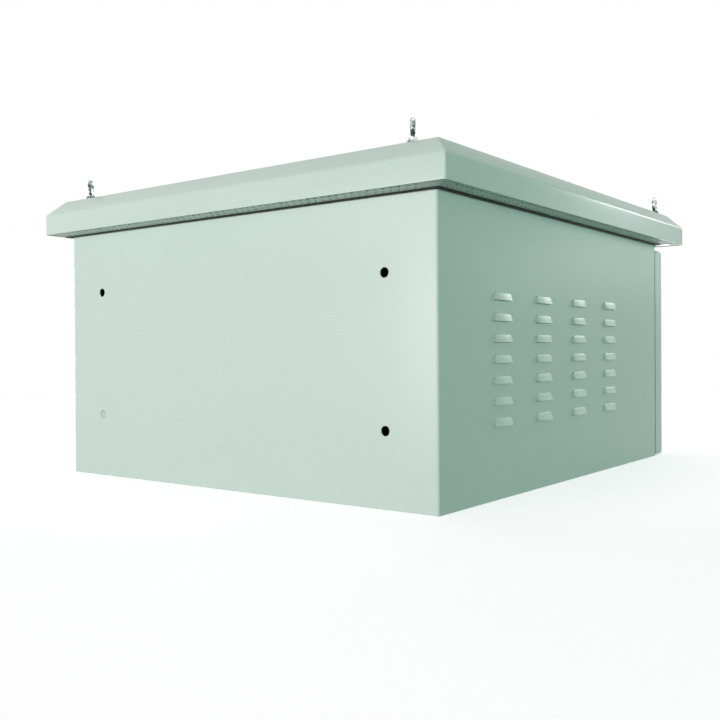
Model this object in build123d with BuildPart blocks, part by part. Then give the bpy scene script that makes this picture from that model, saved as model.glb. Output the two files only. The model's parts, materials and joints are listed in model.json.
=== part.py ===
from build123d import *
import os

os.makedirs("parts", exist_ok=True)

# Wall mount rack cabinet for 19 inch equipment, with a vented rain hood, lengths in millimetres.
# X runs to the right seen from the door, the door faces -Y, the wall side faces +Y and Z is up.
# The origin is on the floor plane, under the middle of the rain hood.

# Cabinet body
body_width = 600.0
body_depth = 630.0
body_height = 345.0
sheet = 1.5
bend_radius = 3.0
flange_height = 15.0

# Wall fixing holes in the back
wall_hole_radius = 5.5
wall_hole_span_x = 470.0
wall_hole_span_z = 165.0
wall_hole_centre_z = 165.0
plug_gap = 0.6
plug_flange = 3.0
plug_flange_thickness = 2.0

# Pressed louvres in both sides
louvre_columns = 4
louvre_rows = 7
louvre_pitch_y = 103.5
louvre_pitch_z = 23.3
louvre_set_in = 289.0
louvre_centre_z = 151.0
louvre_width = 42.0
louvre_height = 10.5
louvre_rise = 4.5
louvre_corner = 4.0
louvre_slope = 26.0

# Rain hood and its perforated eaves
roof_overhang = 26.0
roof_front_overhang = 56.0
eave_drop = 15.0
fascia_height = 27.0
roof_chamfer = 20.0
hood_corner_radius = 3.0
eave_gap = 6.0
eave_set_up = 1.0
eave_leg = 12.0
vent_hole = 4.2
vent_pitch = 30.0
vent_row_spacing = 8.7
vent_edge = 6.0
vent_end_margin = 36.0

# Vent slots in the inner roof, under the hood
slot_length = 60.0
slot_width = 6.0
slot_pitch = 16.0
slot_count = 6
slot_group_x = 100.0
slot_group_y = 160.0

# Channels that carry the hood on the inner roof
channel_offset_x = 200.0
channel_crown = 34.0
channel_foot = 15.0
channel_end_margin = 40.0

# Lifting eye bolts
eye_back_x = 267.0
eye_front_x = 294.0
eye_back_inset = 33.0
eye_front_inset = 38.0
eye_height = 27.0
eye_ring_diameter = 23.0
eye_wire = 6.0
eye_wire_chamfer = 1.7
eye_neck_radius = 3.5
eye_collar_diameter = 15.0
eye_collar_height = 3.0
eye_shank_radius = 4.0
eye_shank_clearance = 0.4
eye_shank_length = 14.0
eye_turn_back_left = 123.0
eye_turn_back_right = 134.0
eye_turn_front_left = 99.0
eye_turn_front_right = 66.0
washer_radius = 8.0
washer_thickness = 1.6
nut_across_flats = 13.0
nut_height = 6.5

# Door frame round the opening
frame_bar = 26.0
frame_lip = 18.0

# Door
door_thickness = 30.0
door_gap = 3.0
door_top_clearance = 10.0
door_bottom_clearance = 1.0
door_corner_radius = 4.0
gasket_width = 14.0
gasket_clearance = 0.3
stiffener_offset_x = 150.0
stiffener_crown = 24.0
stiffener_foot = 12.0
stiffener_depth = 12.0
stiffener_end_margin = 10.0
stiffener_hole_radius = 4.0
stiffener_hole_pitch = 50.0

# Hinges
hinge_spacing = 190.0
hinge_length = 44.0
hinge_leaf = 2.0
hinge_leaf_width = 30.0
hinge_barrel_radius = 5.0
hinge_barrel_clearance = 0.3
hinge_pin_radius = 2.5
hinge_pin_clearance = 0.05
hinge_axial_gap = 0.3
hinge_notch = 1.0

# Quarter turn locks
lock_spacing = 140.0
lock_edge = 52.0
lock_barrel_radius = 9.0
lock_bore_clearance = 0.3
lock_core_radius = 6.0
lock_core_clearance = 0.05
lock_head_radius = 14.0
lock_head_thickness = 3.0
lock_key_radius = 4.2
lock_key_depth = 8.0
lock_key_pin_radius = 1.6
lock_nut_across_flats = 24.0
lock_nut_height = 5.0
cam_length = 46.0
cam_width = 16.0
cam_thickness = 3.0
cam_clearance = 0.6
cam_screw_radius = 2.5
cam_screw_head_radius = 4.5
cam_screw_head_height = 3.5

# Rack rails, with the hole pitch of the 19 inch standard
rack_units = 6
rack_unit_height = 44.45
rack_hole_spacing = 465.1
rack_clear_width = 450.0
rack_hole = 9.5
rack_hole_offset = 15.875
rail_sheet = 2.0
rail_leg = 30.0
rail_face_width = 24.0
rail_front_set_back = 40.0
rail_depth_spacing = 450.0
rail_end_margin = 6.0

# Bearers along the sides that carry the rails
bearer_height = 25.0
bearer_low_z = 33.0
bearer_high_z = 287.0
bearer_slot_height = 6.6
bearer_slot_length = 120.0
bearer_end_margin = 12.0
rail_screw_radius = 3.0
rail_screw_head_radius = 5.0
rail_screw_head_height = 3.5
rail_nut_across_flats = 10.0
rail_nut_height = 5.0

# Filters behind the louvres
filter_margin_y = 24.0
filter_margin_z = 8.0
filter_thickness = 8.0
filter_frame_sheet = 1.0
filter_frame_lip = 10.0
filter_frame_flange = 9.0
filter_clearance = 0.5
filter_screw_radius = 2.0
filter_screw_head_radius = 4.0
filter_screw_head_height = 2.4

# Cable entry in the base
cable_opening_length = 220.0
cable_opening_width = 80.0
cable_opening_set_in = 130.0
gland_plate_margin = 14.0
gland_plate_thickness = 2.0
gland_screw_radius = 2.5
gland_screw_head_radius = 4.5
gland_screw_head_height = 3.0
grommet_count = 4
grommet_pitch = 52.0
grommet_hole_radius = 16.0
grommet_flange = 3.0
grommet_flange_thickness = 1.2
grommet_membrane = 1.2
grommet_cone_height = 8.0
grommet_cone_radius = 8.0

# Earth stud on the base
earth_side_inset = 45.0
earth_front_inset = 70.0
earth_stud_radius = 3.0
earth_stud_length = 24.0
earth_washer_radius = 6.0
earth_washer_thickness = 1.6
earth_nut_across_flats = 10.0
earth_nut_height = 5.0

# Flats round small turned parts that need no true circle
screw_flat_count = 8
disc_flat_count = 12

# Places that follow from the sizes above
half_width = body_width / 2
inner_half_width = half_width - sheet
roof_width = body_width + 2 * roof_overhang
roof_depth = body_depth + roof_overhang + roof_front_overhang
back_y = roof_depth / 2 - roof_overhang
front_y = back_y - body_depth
eave_height = body_height - eave_drop
roof_top = eave_height + fascia_height + roof_chamfer
hood_underside = roof_top - sheet
inner_roof_underside = body_height - sheet
door_back_y = front_y - door_gap
door_front_y = door_back_y - door_thickness
door_inside_y = door_front_y + sheet
door_top = eave_height - door_top_clearance
door_height = door_top - door_bottom_clearance
opening_half_width = half_width - frame_bar
opening_bottom = frame_bar
opening_top = door_top - frame_bar
opening_centre_z = (opening_bottom + opening_top) / 2
lip_edge_y = front_y - frame_lip
rack_height = rack_units * rack_unit_height
rail_inner_x = rack_clear_width / 2
rail_outer_x = rail_inner_x + rail_face_width
rail_bottom = opening_centre_z - rack_height / 2 - rail_end_margin
rail_top = opening_centre_z + rack_height / 2 + rail_end_margin
front_rail_y = front_y + rail_front_set_back
rear_rail_y = front_rail_y + rail_depth_spacing
filter_half_length = (louvre_columns - 1) * louvre_pitch_y / 2 + louvre_width / 2 + filter_margin_y
filter_half_height = (louvre_rows - 1) * louvre_pitch_z / 2 + louvre_height / 2 + filter_margin_z
filter_centre_z = louvre_centre_z + louvre_height / 2
louvre_centre_y = back_y - louvre_set_in
cable_opening_y = back_y - cable_opening_set_in
earth_x = -(half_width - earth_side_inset)
earth_y = front_y + earth_front_inset
hinge_axis_x = half_width + hinge_barrel_radius + hinge_barrel_clearance
hinge_axis_y = front_y
lock_x = -(half_width - lock_edge)
cam_front_y = front_y + sheet + cam_clearance
eye_places = {
    "back_left": (-eye_back_x, roof_depth / 2 - eye_back_inset, eye_turn_back_left),
    "back_right": (eye_back_x, roof_depth / 2 - eye_back_inset, eye_turn_back_right),
    "front_left": (-eye_front_x, -roof_depth / 2 + eye_front_inset, eye_turn_front_left),
    "front_right": (eye_front_x, -roof_depth / 2 + eye_front_inset, eye_turn_front_right),
}
eye_points = [(x, y) for x, y, turn in eye_places.values()]
plug_x = wall_hole_span_x / 2
plug_z = wall_hole_centre_z - wall_hole_span_z / 2


def save(built, node):
    """Label a finished piece and write it to its own file."""
    built.part.label = node
    export_step(built.part, f"parts/{node}.step")


def fold_section(plane, points, thickness):
    """Draw the section of a sheet folded along the points, with its thickness on their left."""
    with BuildSketch(plane) as section:
        with BuildLine():
            Polyline(*points)
            offset(amount=thickness, side=Side.LEFT, kind=Kind.INTERSECTION)
        make_face()
    return section.sketch


def hat_section(plane, crown, foot, height, thickness):
    """Draw a hat section that stands on two feet and is open below."""
    half = crown / 2
    points = [
        (half + foot, 0),
        (half - thickness, 0),
        (half - thickness, height - thickness),
        (thickness - half, height - thickness),
        (thickness - half, 0),
        (-half - foot, 0),
    ]
    mirrored = [(-x, y) for x, y in points]
    return fold_section(plane, mirrored, thickness)


# One pressed louvre, with the wall face at Z = 0, its open mouth at Y = 0 and its rise along Z
with BuildPart() as louvre_outside:
    with BuildSketch() as louvre_foot:
        Rectangle(louvre_width, 2 * louvre_height)
        chamfer(louvre_foot.vertices(), length=louvre_corner)
    extrude(amount=louvre_rise, taper=louvre_slope)
    split(bisect_by=Plane.XZ, keep=Keep.BOTTOM)

with BuildPart() as louvre_hollow:
    with BuildSketch(Plane.XY.offset(-sheet)) as louvre_mouth:
        Rectangle(louvre_width - 2 * sheet, 2 * (louvre_height - sheet))
        chamfer(louvre_mouth.vertices(), length=louvre_corner)
    extrude(amount=louvre_rise, taper=louvre_slope)
    split(bisect_by=Plane.XZ, keep=Keep.BOTTOM)

louvre_grid = [
    (
        (column - (louvre_columns - 1) / 2) * louvre_pitch_y,
        (row - (louvre_rows - 1) / 2) * louvre_pitch_z,
    )
    for column in range(louvre_columns)
    for row in range(louvre_rows)
]
left_side = Plane(origin=(-half_width, louvre_centre_y, louvre_centre_z), x_dir=(0, -1, 0), z_dir=(-1, 0, 0))
right_side = Plane(origin=(half_width, louvre_centre_y, louvre_centre_z), x_dir=(0, 1, 0), z_dir=(1, 0, 0))

# Body wrap: both sides and the back from one folded sheet, with its louvres and wall holes
with BuildPart() as body_wrap:
    with BuildSketch():
        with Locations((0, (front_y + back_y) / 2)):
            outer = Rectangle(body_width, body_depth)
        fillet(outer.vertices().group_by(Axis.Y)[-1], radius=bend_radius)
        with Locations((0, (front_y + back_y - sheet) / 2)):
            Rectangle(body_width - 2 * sheet, body_depth - sheet, mode=Mode.SUBTRACT)
    extrude(amount=body_height)
    with BuildSketch(Plane.XZ.offset(-back_y)):
        with Locations((0, wall_hole_centre_z)):
            with GridLocations(wall_hole_span_x, wall_hole_span_z, 2, 2):
                Circle(wall_hole_radius)
    extrude(amount=sheet, mode=Mode.SUBTRACT)
    for side in (left_side, right_side):
        with Locations(side):
            with Locations(*louvre_grid):
                add(louvre_outside.part)
    for side in (left_side, right_side):
        with Locations(side):
            with Locations(*louvre_grid):
                add(louvre_hollow.part, mode=Mode.SUBTRACT)
save(body_wrap, "body_wrap")

# Blanking plug in the lower wall hole on the hinge side, flush with the back
with BuildPart() as wall_hole_plug:
    with BuildSketch(Plane.XZ.offset(-back_y)):
        with Locations((plug_x, plug_z)):
            RegularPolygon(wall_hole_radius - plug_gap, disc_flat_count)
    extrude(amount=sheet)
    with BuildSketch(Plane.XZ.offset(-back_y + sheet)):
        with Locations((plug_x, plug_z)):
            RegularPolygon(wall_hole_radius + plug_flange, disc_flat_count)
    extrude(amount=plug_flange_thickness)
save(wall_hole_plug, "wall_hole_plug")


def flanged_panel(level, direction):
    """Add a panel behind the door frame, folded up or down on its two sides and at the back."""
    with BuildSketch(Plane.XY.offset(level)) as outline:
        with Locations((0, (front_y + back_y) / 2)):
            panel = Rectangle(body_width - 2 * sheet, body_depth - 2 * sheet)
        fillet(panel.vertices().group_by(Axis.Y)[-1], radius=bend_radius)
    extrude(outline.sketch, amount=direction * flange_height)
    with BuildSketch(Plane.XY.offset(level + direction * sheet)) as inside:
        with Locations((0, (front_y + back_y - sheet) / 2)):
            Rectangle(body_width - 4 * sheet, body_depth - 3 * sheet)
    extrude(inside.sketch, amount=direction * flange_height, mode=Mode.SUBTRACT)


# Base tray: floor with up-turned flanges, and the rectangular cable opening
with BuildPart() as base_tray:
    flanged_panel(0, 1)
    with BuildSketch():
        with Locations((0, cable_opening_y)):
            Rectangle(cable_opening_length, cable_opening_width)
    extrude(amount=sheet, mode=Mode.SUBTRACT)
save(base_tray, "base_tray")

# Inner roof: closes the body under the hood, with two groups of vent slots
with BuildPart() as inner_roof:
    flanged_panel(body_height, -1)
    with BuildSketch(Plane.XY.offset(inner_roof_underside)):
        with GridLocations(2 * slot_group_x, 2 * slot_group_y, 2, 2):
            with GridLocations(slot_length, slot_pitch, 1, slot_count):
                Rectangle(slot_length, slot_width)
    extrude(amount=sheet, mode=Mode.SUBTRACT)
save(inner_roof, "inner_roof")

# Rain hood: one sheet with a flat top, four mitred chamfers and a deep fascia
with BuildPart() as roof_hood:
    with BuildSketch(Plane.XY.offset(eave_height)):
        RectangleRounded(roof_width, roof_depth, hood_corner_radius)
    extrude(amount=fascia_height)
    extrude(faces().sort_by(Axis.Z)[-1], amount=roof_chamfer, taper=45)
    with BuildSketch(Plane.XY.offset(eave_height)):
        Rectangle(roof_width - 2 * sheet, roof_depth - 2 * sheet)
    inner_fascia = extrude(amount=fascia_height - sheet / 2, mode=Mode.SUBTRACT)
    extrude(
        inner_fascia.faces().sort_by(Axis.Z)[-1],
        amount=roof_chamfer - sheet / 2,
        taper=45,
        mode=Mode.SUBTRACT,
    )
    with BuildSketch(Plane.XY.offset(hood_underside)):
        with Locations(*eye_points):
            RegularPolygon(eye_shank_radius + eye_shank_clearance, screw_flat_count)
    extrude(amount=sheet, mode=Mode.SUBTRACT)
save(roof_hood, "roof_hood")

# Perforated eave strips: an upright leg against the fascia and a flat leg with staggered holes
hood_inner_x = roof_width / 2 - sheet
hood_inner_y = roof_depth / 2 - sheet
eave_side_x = half_width + eave_gap
eave_back_y = back_y + eave_gap
eave_front_y = front_y - eave_gap
eave_level = eave_height + eave_set_up


def eave_strip(node, outer_ends, inner_ends):
    """Build one strip between the outer edge on the fascia and the inner edge beside the body."""
    outer_start = Vector(*outer_ends[0])
    outer_end = Vector(*outer_ends[1])
    along = (outer_end - outer_start).normalized()
    middle = (outer_start + outer_end) / 2
    frame = Plane(origin=(middle.X, middle.Y, eave_level), x_dir=along, z_dir=(0, 0, 1))
    half_outer = (outer_end - outer_start).length / 2
    inner_start = frame.to_local_coords(Vector(*inner_ends[0], eave_level))
    inner_end = frame.to_local_coords(Vector(*inner_ends[1], eave_level))
    hole_count = int((2 * half_outer - 2 * vent_end_margin) / vent_pitch)
    slope_start = (inner_start.X + half_outer) / inner_start.Y
    slope_end = (inner_end.X - half_outer) / inner_end.Y
    leg_points = [
        (-half_outer, 0),
        (half_outer, 0),
        (half_outer + slope_end * sheet, sheet),
        (-half_outer + slope_start * sheet, sheet),
    ]
    with BuildPart() as strip:
        with BuildSketch(frame):
            Polygon(
                (-half_outer, 0),
                (half_outer, 0),
                (inner_end.X, inner_end.Y),
                (inner_start.X, inner_start.Y),
                align=None,
            )
        extrude(amount=sheet)
        with BuildSketch(frame):
            Polygon(*leg_points, align=None)
        extrude(amount=eave_leg)
        with BuildSketch(frame):
            with Locations((-vent_pitch / 4, vent_edge)):
                with GridLocations(vent_pitch, 1, hole_count, 1):
                    Rectangle(vent_hole, vent_hole)
            with Locations((vent_pitch / 4, vent_edge + vent_row_spacing)):
                with GridLocations(vent_pitch, 1, hole_count, 1):
                    Rectangle(vent_hole, vent_hole)
        extrude(amount=sheet, mode=Mode.SUBTRACT)
    save(strip, node)


outer_corners = [
    (hood_inner_x, hood_inner_y),
    (-hood_inner_x, hood_inner_y),
    (-hood_inner_x, -hood_inner_y),
    (hood_inner_x, -hood_inner_y),
]
inner_corners = [
    (eave_side_x, eave_back_y),
    (-eave_side_x, eave_back_y),
    (-eave_side_x, eave_front_y),
    (eave_side_x, eave_front_y),
]
for index, place in enumerate(("back", "left", "front", "right")):
    following = (index + 1) % 4
    eave_strip(
        f"eave_strip_{place}",
        (outer_corners[index], outer_corners[following]),
        (inner_corners[index], inner_corners[following]),
    )

# Hood channels: two hat sections from the inner roof up to the hood
channel_length = body_depth - 2 * channel_end_margin
for side, place in ((-1, "left"), (1, "right")):
    channel_plane = Plane(
        origin=(side * channel_offset_x, back_y - channel_end_margin, body_height),
        x_dir=(1, 0, 0),
        z_dir=(0, -1, 0),
    )
    with BuildPart() as hood_channel:
        section = hat_section(channel_plane, channel_crown, channel_foot, hood_underside - body_height, sheet)
        extrude(section, amount=channel_length)
    save(hood_channel, f"hood_channel_{place}")

# One lifting eye bolt, with the seat of its collar at the origin and its ring in the XZ plane
ring_radius = eye_ring_diameter / 2
with BuildPart() as eye_bolt:
    with BuildSketch(Plane.XZ.offset(-eye_wire / 2)):
        with Locations((0, eye_height - ring_radius)):
            RegularPolygon(ring_radius, disc_flat_count)
            RegularPolygon(ring_radius - eye_wire, disc_flat_count, mode=Mode.SUBTRACT)
    extrude(amount=eye_wire)
    chamfer(faces().filter_by(Axis.Y).edges(), length=eye_wire_chamfer)
    with BuildSketch():
        RegularPolygon(eye_neck_radius, screw_flat_count)
    extrude(amount=eye_height - eye_ring_diameter + eye_wire / 2)
    with BuildSketch():
        RegularPolygon(eye_collar_diameter / 2, disc_flat_count)
    extrude(amount=eye_collar_height)
    with BuildSketch():
        RegularPolygon(eye_shank_radius, screw_flat_count)
    extrude(amount=-eye_shank_length)

# The four eye bolts, each screwed down to its own angle
for place, (eye_x, eye_y, eye_turn) in eye_places.items():
    with BuildPart() as placed_eye_bolt:
        with Locations(Location((eye_x, eye_y, roof_top), (0, 0, eye_turn))):
            add(eye_bolt.part)
    save(placed_eye_bolt, f"eye_bolt_{place}")

# Washers and nuts of the eye bolts, under the hood sheet
with BuildPart() as eye_washers:
    with BuildSketch(Plane.XY.offset(hood_underside)):
        with Locations(*eye_points):
            RegularPolygon(washer_radius, disc_flat_count)
            RegularPolygon(eye_shank_radius + eye_shank_clearance, screw_flat_count, mode=Mode.SUBTRACT)
    extrude(amount=-washer_thickness)
save(eye_washers, "eye_washers")

with BuildPart() as eye_nuts:
    with BuildSketch(Plane.XY.offset(hood_underside - washer_thickness)):
        with Locations(*eye_points):
            RegularPolygon(nut_across_flats / 2, 6, major_radius=False)
            RegularPolygon(eye_shank_radius + eye_shank_clearance, screw_flat_count, mode=Mode.SUBTRACT)
    extrude(amount=-nut_height)
save(eye_nuts, "eye_nuts")

# Door frame: a flat ring inside the wrap, with a lip that stands forward round the opening
with BuildPart() as door_frame:
    with BuildSketch(Plane.XZ.offset(-front_y)):
        with Locations((0, body_height / 2)):
            Rectangle(body_width - 2 * sheet, body_height)
        with Locations((0, opening_centre_z)):
            Rectangle(2 * opening_half_width, opening_top - opening_bottom, mode=Mode.SUBTRACT)
    extrude(amount=-sheet)
    with BuildSketch(Plane.XZ.offset(-front_y)):
        with Locations((0, opening_centre_z)):
            Rectangle(2 * (opening_half_width + sheet), opening_top - opening_bottom + 2 * sheet)
            Rectangle(2 * opening_half_width, opening_top - opening_bottom, mode=Mode.SUBTRACT)
    extrude(amount=frame_lip)
save(door_frame, "door_frame")

# Door panel: a folded tray with rounded front edges and two lock holes
lock_levels = (opening_centre_z - lock_spacing / 2, opening_centre_z + lock_spacing / 2)
door_centre_z = door_bottom_clearance + door_height / 2
with BuildPart() as door_panel:
    with BuildSketch(Plane.XZ.offset(-door_back_y)):
        with Locations((0, door_centre_z)):
            RectangleRounded(body_width, door_height, door_corner_radius)
    extrude(amount=door_thickness)
    fillet(faces().sort_by(Axis.Y)[0].edges(), radius=bend_radius)
    with BuildSketch(Plane.XZ.offset(-door_back_y)):
        with Locations((0, door_centre_z)):
            RectangleRounded(body_width - 2 * sheet, door_height - 2 * sheet, door_corner_radius - sheet)
    extrude(amount=door_thickness - sheet, mode=Mode.SUBTRACT)
    with BuildSketch(Plane.XZ.offset(-door_inside_y)):
        with Locations(*[(lock_x, level) for level in lock_levels]):
            RegularPolygon(lock_barrel_radius + lock_bore_clearance, disc_flat_count)
    extrude(amount=sheet, mode=Mode.SUBTRACT)
save(door_panel, "door_panel")

# Door gasket: a foam ring that the lip of the frame bites into
gasket_back_y = lip_edge_y - gasket_clearance
gasket_centre_x = opening_half_width + sheet / 2
gasket_centre_half_z = (opening_top - opening_bottom + sheet) / 2
with BuildPart() as door_gasket:
    with BuildSketch(Plane.XZ.offset(-door_inside_y)):
        with Locations((0, opening_centre_z)):
            Rectangle(2 * gasket_centre_x + gasket_width, 2 * gasket_centre_half_z + gasket_width)
            Rectangle(
                2 * gasket_centre_x - gasket_width,
                2 * gasket_centre_half_z - gasket_width,
                mode=Mode.SUBTRACT,
            )
    extrude(amount=door_inside_y - gasket_back_y)
save(door_gasket, "door_gasket")

# Door stiffeners: two hat sections inside the door, between the gasket's top and bottom runs
stiffener_length = 2 * gasket_centre_half_z - gasket_width - 2 * stiffener_end_margin
stiffener_holes = int(stiffener_length / stiffener_hole_pitch)
for side, place in ((-1, "left"), (1, "right")):
    stiffener_plane = Plane(
        origin=(side * stiffener_offset_x, door_inside_y, opening_centre_z - stiffener_length / 2),
        x_dir=(1, 0, 0),
        z_dir=(0, 0, 1),
    )
    with BuildPart() as door_stiffener:
        extrude(
            hat_section(stiffener_plane, stiffener_crown, stiffener_foot, stiffener_depth, sheet),
            amount=stiffener_length,
        )
        with BuildSketch(Plane.XZ.offset(-door_inside_y - stiffener_depth)):
            with Locations((side * stiffener_offset_x, opening_centre_z)):
                with GridLocations(1, stiffener_hole_pitch, 1, stiffener_holes):
                    RegularPolygon(stiffener_hole_radius, screw_flat_count)
        extrude(amount=sheet, mode=Mode.SUBTRACT)
    save(door_stiffener, f"door_stiffener_{place}")


def hinge_leaf_piece(node, level, facing, knuckle_bottom, knuckle_top, bore_radius):
    """Build one hinge leaf: facing +1 lies on the body side, facing -1 on the door side."""
    plate_start = hinge_axis_y + facing * (hinge_barrel_radius + hinge_notch)
    plate_end = hinge_axis_y + facing * (hinge_leaf_width + hinge_notch)
    with BuildPart() as leaf:
        with BuildSketch(Plane.XY.offset(level - hinge_length / 2)):
            with Locations((half_width + hinge_leaf / 2, (plate_start + plate_end) / 2)):
                Rectangle(hinge_leaf, abs(plate_end - plate_start))
        extrude(amount=hinge_length)
        with BuildSketch(Plane.XY.offset(level + knuckle_bottom)):
            with Locations((half_width + hinge_leaf / 2, (hinge_axis_y + plate_end) / 2)):
                Rectangle(hinge_leaf, abs(plate_end - hinge_axis_y))
            with Locations((hinge_axis_x, hinge_axis_y)):
                RegularPolygon(hinge_barrel_radius, disc_flat_count)
                Circle(bore_radius, mode=Mode.SUBTRACT)
        extrude(amount=knuckle_top - knuckle_bottom)
    save(leaf, node)


# Hinges: lift-off pairs, the lower knuckle on the body holds the pin
half_hinge = hinge_length / 2
for place, level in (
    ("lower", opening_centre_z - hinge_spacing / 2),
    ("upper", opening_centre_z + hinge_spacing / 2),
):
    hinge_leaf_piece(f"hinge_body_leaf_{place}", level, 1, -half_hinge, 0, hinge_pin_radius)
    hinge_leaf_piece(
        f"hinge_door_leaf_{place}",
        level,
        -1,
        hinge_axial_gap,
        half_hinge,
        hinge_pin_radius + hinge_pin_clearance,
    )
    with BuildPart() as hinge_pin:
        with BuildSketch(Plane.XY.offset(level - half_hinge)):
            with Locations((hinge_axis_x, hinge_axis_y)):
                Circle(hinge_pin_radius)
        extrude(amount=hinge_length)
    save(hinge_pin, f"hinge_pin_{place}")

# Locks: a fixed housing with its nut, and a core that turns the cam
housing_back_y = cam_front_y - cam_clearance / 2
for place, level in (("lower", lock_levels[0]), ("upper", lock_levels[1])):
    axis_plane = Plane(origin=(lock_x, door_front_y, level), x_dir=(1, 0, 0), z_dir=(0, 1, 0))
    head_plane = axis_plane.offset(-lock_head_thickness)
    with BuildPart() as lock_housing:
        with BuildSketch(head_plane):
            RegularPolygon(lock_head_radius, disc_flat_count)
        extrude(amount=lock_head_thickness)
        chamfer(faces().sort_by(Axis.Y)[0].edges(), length=lock_head_thickness / 3)
        with BuildSketch(axis_plane):
            RegularPolygon(lock_barrel_radius, disc_flat_count)
        extrude(amount=housing_back_y - door_front_y)
        with BuildSketch(head_plane):
            Circle(lock_core_radius + lock_core_clearance)
        extrude(amount=housing_back_y - door_front_y + lock_head_thickness, mode=Mode.SUBTRACT)
    save(lock_housing, f"lock_housing_{place}")
    with BuildPart() as lock_core:
        with BuildSketch(head_plane.offset(lock_head_thickness / 3)):
            Circle(lock_core_radius)
        extrude(amount=cam_front_y - door_front_y + lock_head_thickness * 2 / 3)
        with BuildSketch(head_plane.offset(lock_head_thickness / 3)):
            RegularPolygon(lock_key_radius, 3)
        extrude(amount=lock_key_depth, mode=Mode.SUBTRACT)
        with BuildSketch(head_plane.offset(lock_head_thickness / 3 + lock_key_depth)):
            RegularPolygon(lock_key_pin_radius, screw_flat_count)
        extrude(amount=-lock_key_depth / 2)
        with BuildSketch(axis_plane.offset(cam_front_y - door_front_y)):
            RegularPolygon(cam_screw_radius, screw_flat_count)
        extrude(amount=-2 * cam_thickness, mode=Mode.SUBTRACT)
    save(lock_core, f"lock_core_{place}")
    cam_plane = axis_plane.offset(cam_front_y - door_front_y)
    with BuildPart() as lock_cam:
        with BuildSketch(cam_plane) as cam_outline:
            with Locations((0, (cam_width - cam_length) / 2)):
                Rectangle(cam_width, cam_length)
            chamfer(cam_outline.vertices(), length=cam_width / 4)
            RegularPolygon(cam_screw_radius, screw_flat_count, mode=Mode.SUBTRACT)
        extrude(amount=cam_thickness)
    save(lock_cam, f"lock_cam_{place}")
    with BuildPart() as cam_screw:
        with BuildSketch(cam_plane.offset(cam_thickness)):
            RegularPolygon(cam_screw_head_radius, 6)
        extrude(amount=cam_screw_head_height)
        with BuildSketch(cam_plane.offset(cam_thickness)):
            RegularPolygon(cam_screw_radius, screw_flat_count)
        extrude(amount=-3 * cam_thickness)
    save(cam_screw, f"cam_screw_{place}")

with BuildPart() as lock_nuts:
    with BuildSketch(Plane.XZ.offset(-door_inside_y)):
        with Locations(*[(lock_x, level) for level in lock_levels]):
            RegularPolygon(lock_nut_across_flats / 2, 6, major_radius=False)
            RegularPolygon(lock_barrel_radius, disc_flat_count, mode=Mode.SUBTRACT)
    extrude(amount=-lock_nut_height)
save(lock_nuts, "lock_nuts")

# Rack rails: a face flange with square holes and a leg that bolts to the bearers
rail_hole_levels = [
    opening_centre_z - rack_height / 2 + unit * rack_unit_height + rack_unit_height / 2 + step
    for unit in range(rack_units)
    for step in (-rack_hole_offset, 0, rack_hole_offset)
]
bearer_levels = (bearer_low_z + bearer_height / 2, bearer_high_z - bearer_height / 2)
for side, side_name in ((-1, "left"), (1, "right")):
    for face_y, towards, depth_name in ((front_rail_y, 1, "front"), (rear_rail_y, -1, "rear")):
        leg_end = face_y + towards * rail_leg
        with BuildPart() as rack_rail:
            with BuildSketch(Plane.XY.offset(rail_bottom)):
                with Locations((side * (rail_inner_x + rail_outer_x) / 2, face_y + towards * rail_sheet / 2)):
                    Rectangle(rail_face_width, rail_sheet)
                with Locations((side * (rail_outer_x - rail_sheet / 2), (face_y + leg_end) / 2)):
                    Rectangle(rail_sheet, rail_leg)
            extrude(amount=rail_top - rail_bottom)
            with BuildSketch(Plane.XZ.offset(-face_y)):
                with Locations(*[(side * rack_hole_spacing / 2, level) for level in rail_hole_levels]):
                    Rectangle(rack_hole, rack_hole)
            extrude(amount=-towards * rail_sheet, mode=Mode.SUBTRACT)
            with BuildSketch(Plane.YZ.offset(side * rail_outer_x)):
                with Locations(*[((face_y + leg_end) / 2, level) for level in bearer_levels]):
                    RegularPolygon(rail_screw_radius, screw_flat_count)
            extrude(amount=-side * rail_sheet, mode=Mode.SUBTRACT)
        save(rack_rail, f"rack_rail_{depth_name}_{side_name}")

# Bearers: channels along both sides, open away from the louvres, with slots for the rail screws
bearer_front = front_y + sheet + bearer_end_margin
bearer_back = back_y - sheet - bearer_end_margin
screw_ys = (front_rail_y + rail_leg / 2, rear_rail_y - rail_leg / 2)
for side, side_name in ((-1, "left"), (1, "right")):
    for web_z, rise, level_name in ((bearer_low_z, 1, "lower"), (bearer_high_z, -1, "upper")):
        with BuildPart() as bearer:
            with BuildSketch(Plane.XZ.offset(-bearer_back)):
                with Locations((side * (inner_half_width + rail_outer_x) / 2, web_z + rise * bearer_height / 2)):
                    Rectangle(inner_half_width - rail_outer_x, bearer_height)
                with Locations(
                    (side * (inner_half_width + rail_outer_x) / 2, web_z + rise * (bearer_height / 2 + sheet))
                ):
                    Rectangle(inner_half_width - rail_outer_x - 2 * sheet, bearer_height, mode=Mode.SUBTRACT)
            extrude(amount=bearer_back - bearer_front)
            with BuildSketch(Plane.YZ.offset(side * rail_outer_x)):
                with Locations(*[(y, web_z + rise * bearer_height / 2) for y in screw_ys]):
                    Rectangle(bearer_slot_length / 2, bearer_slot_height)
            extrude(amount=side * sheet, mode=Mode.SUBTRACT)
        save(bearer, f"rail_bearer_{side_name}_{level_name}")

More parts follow.
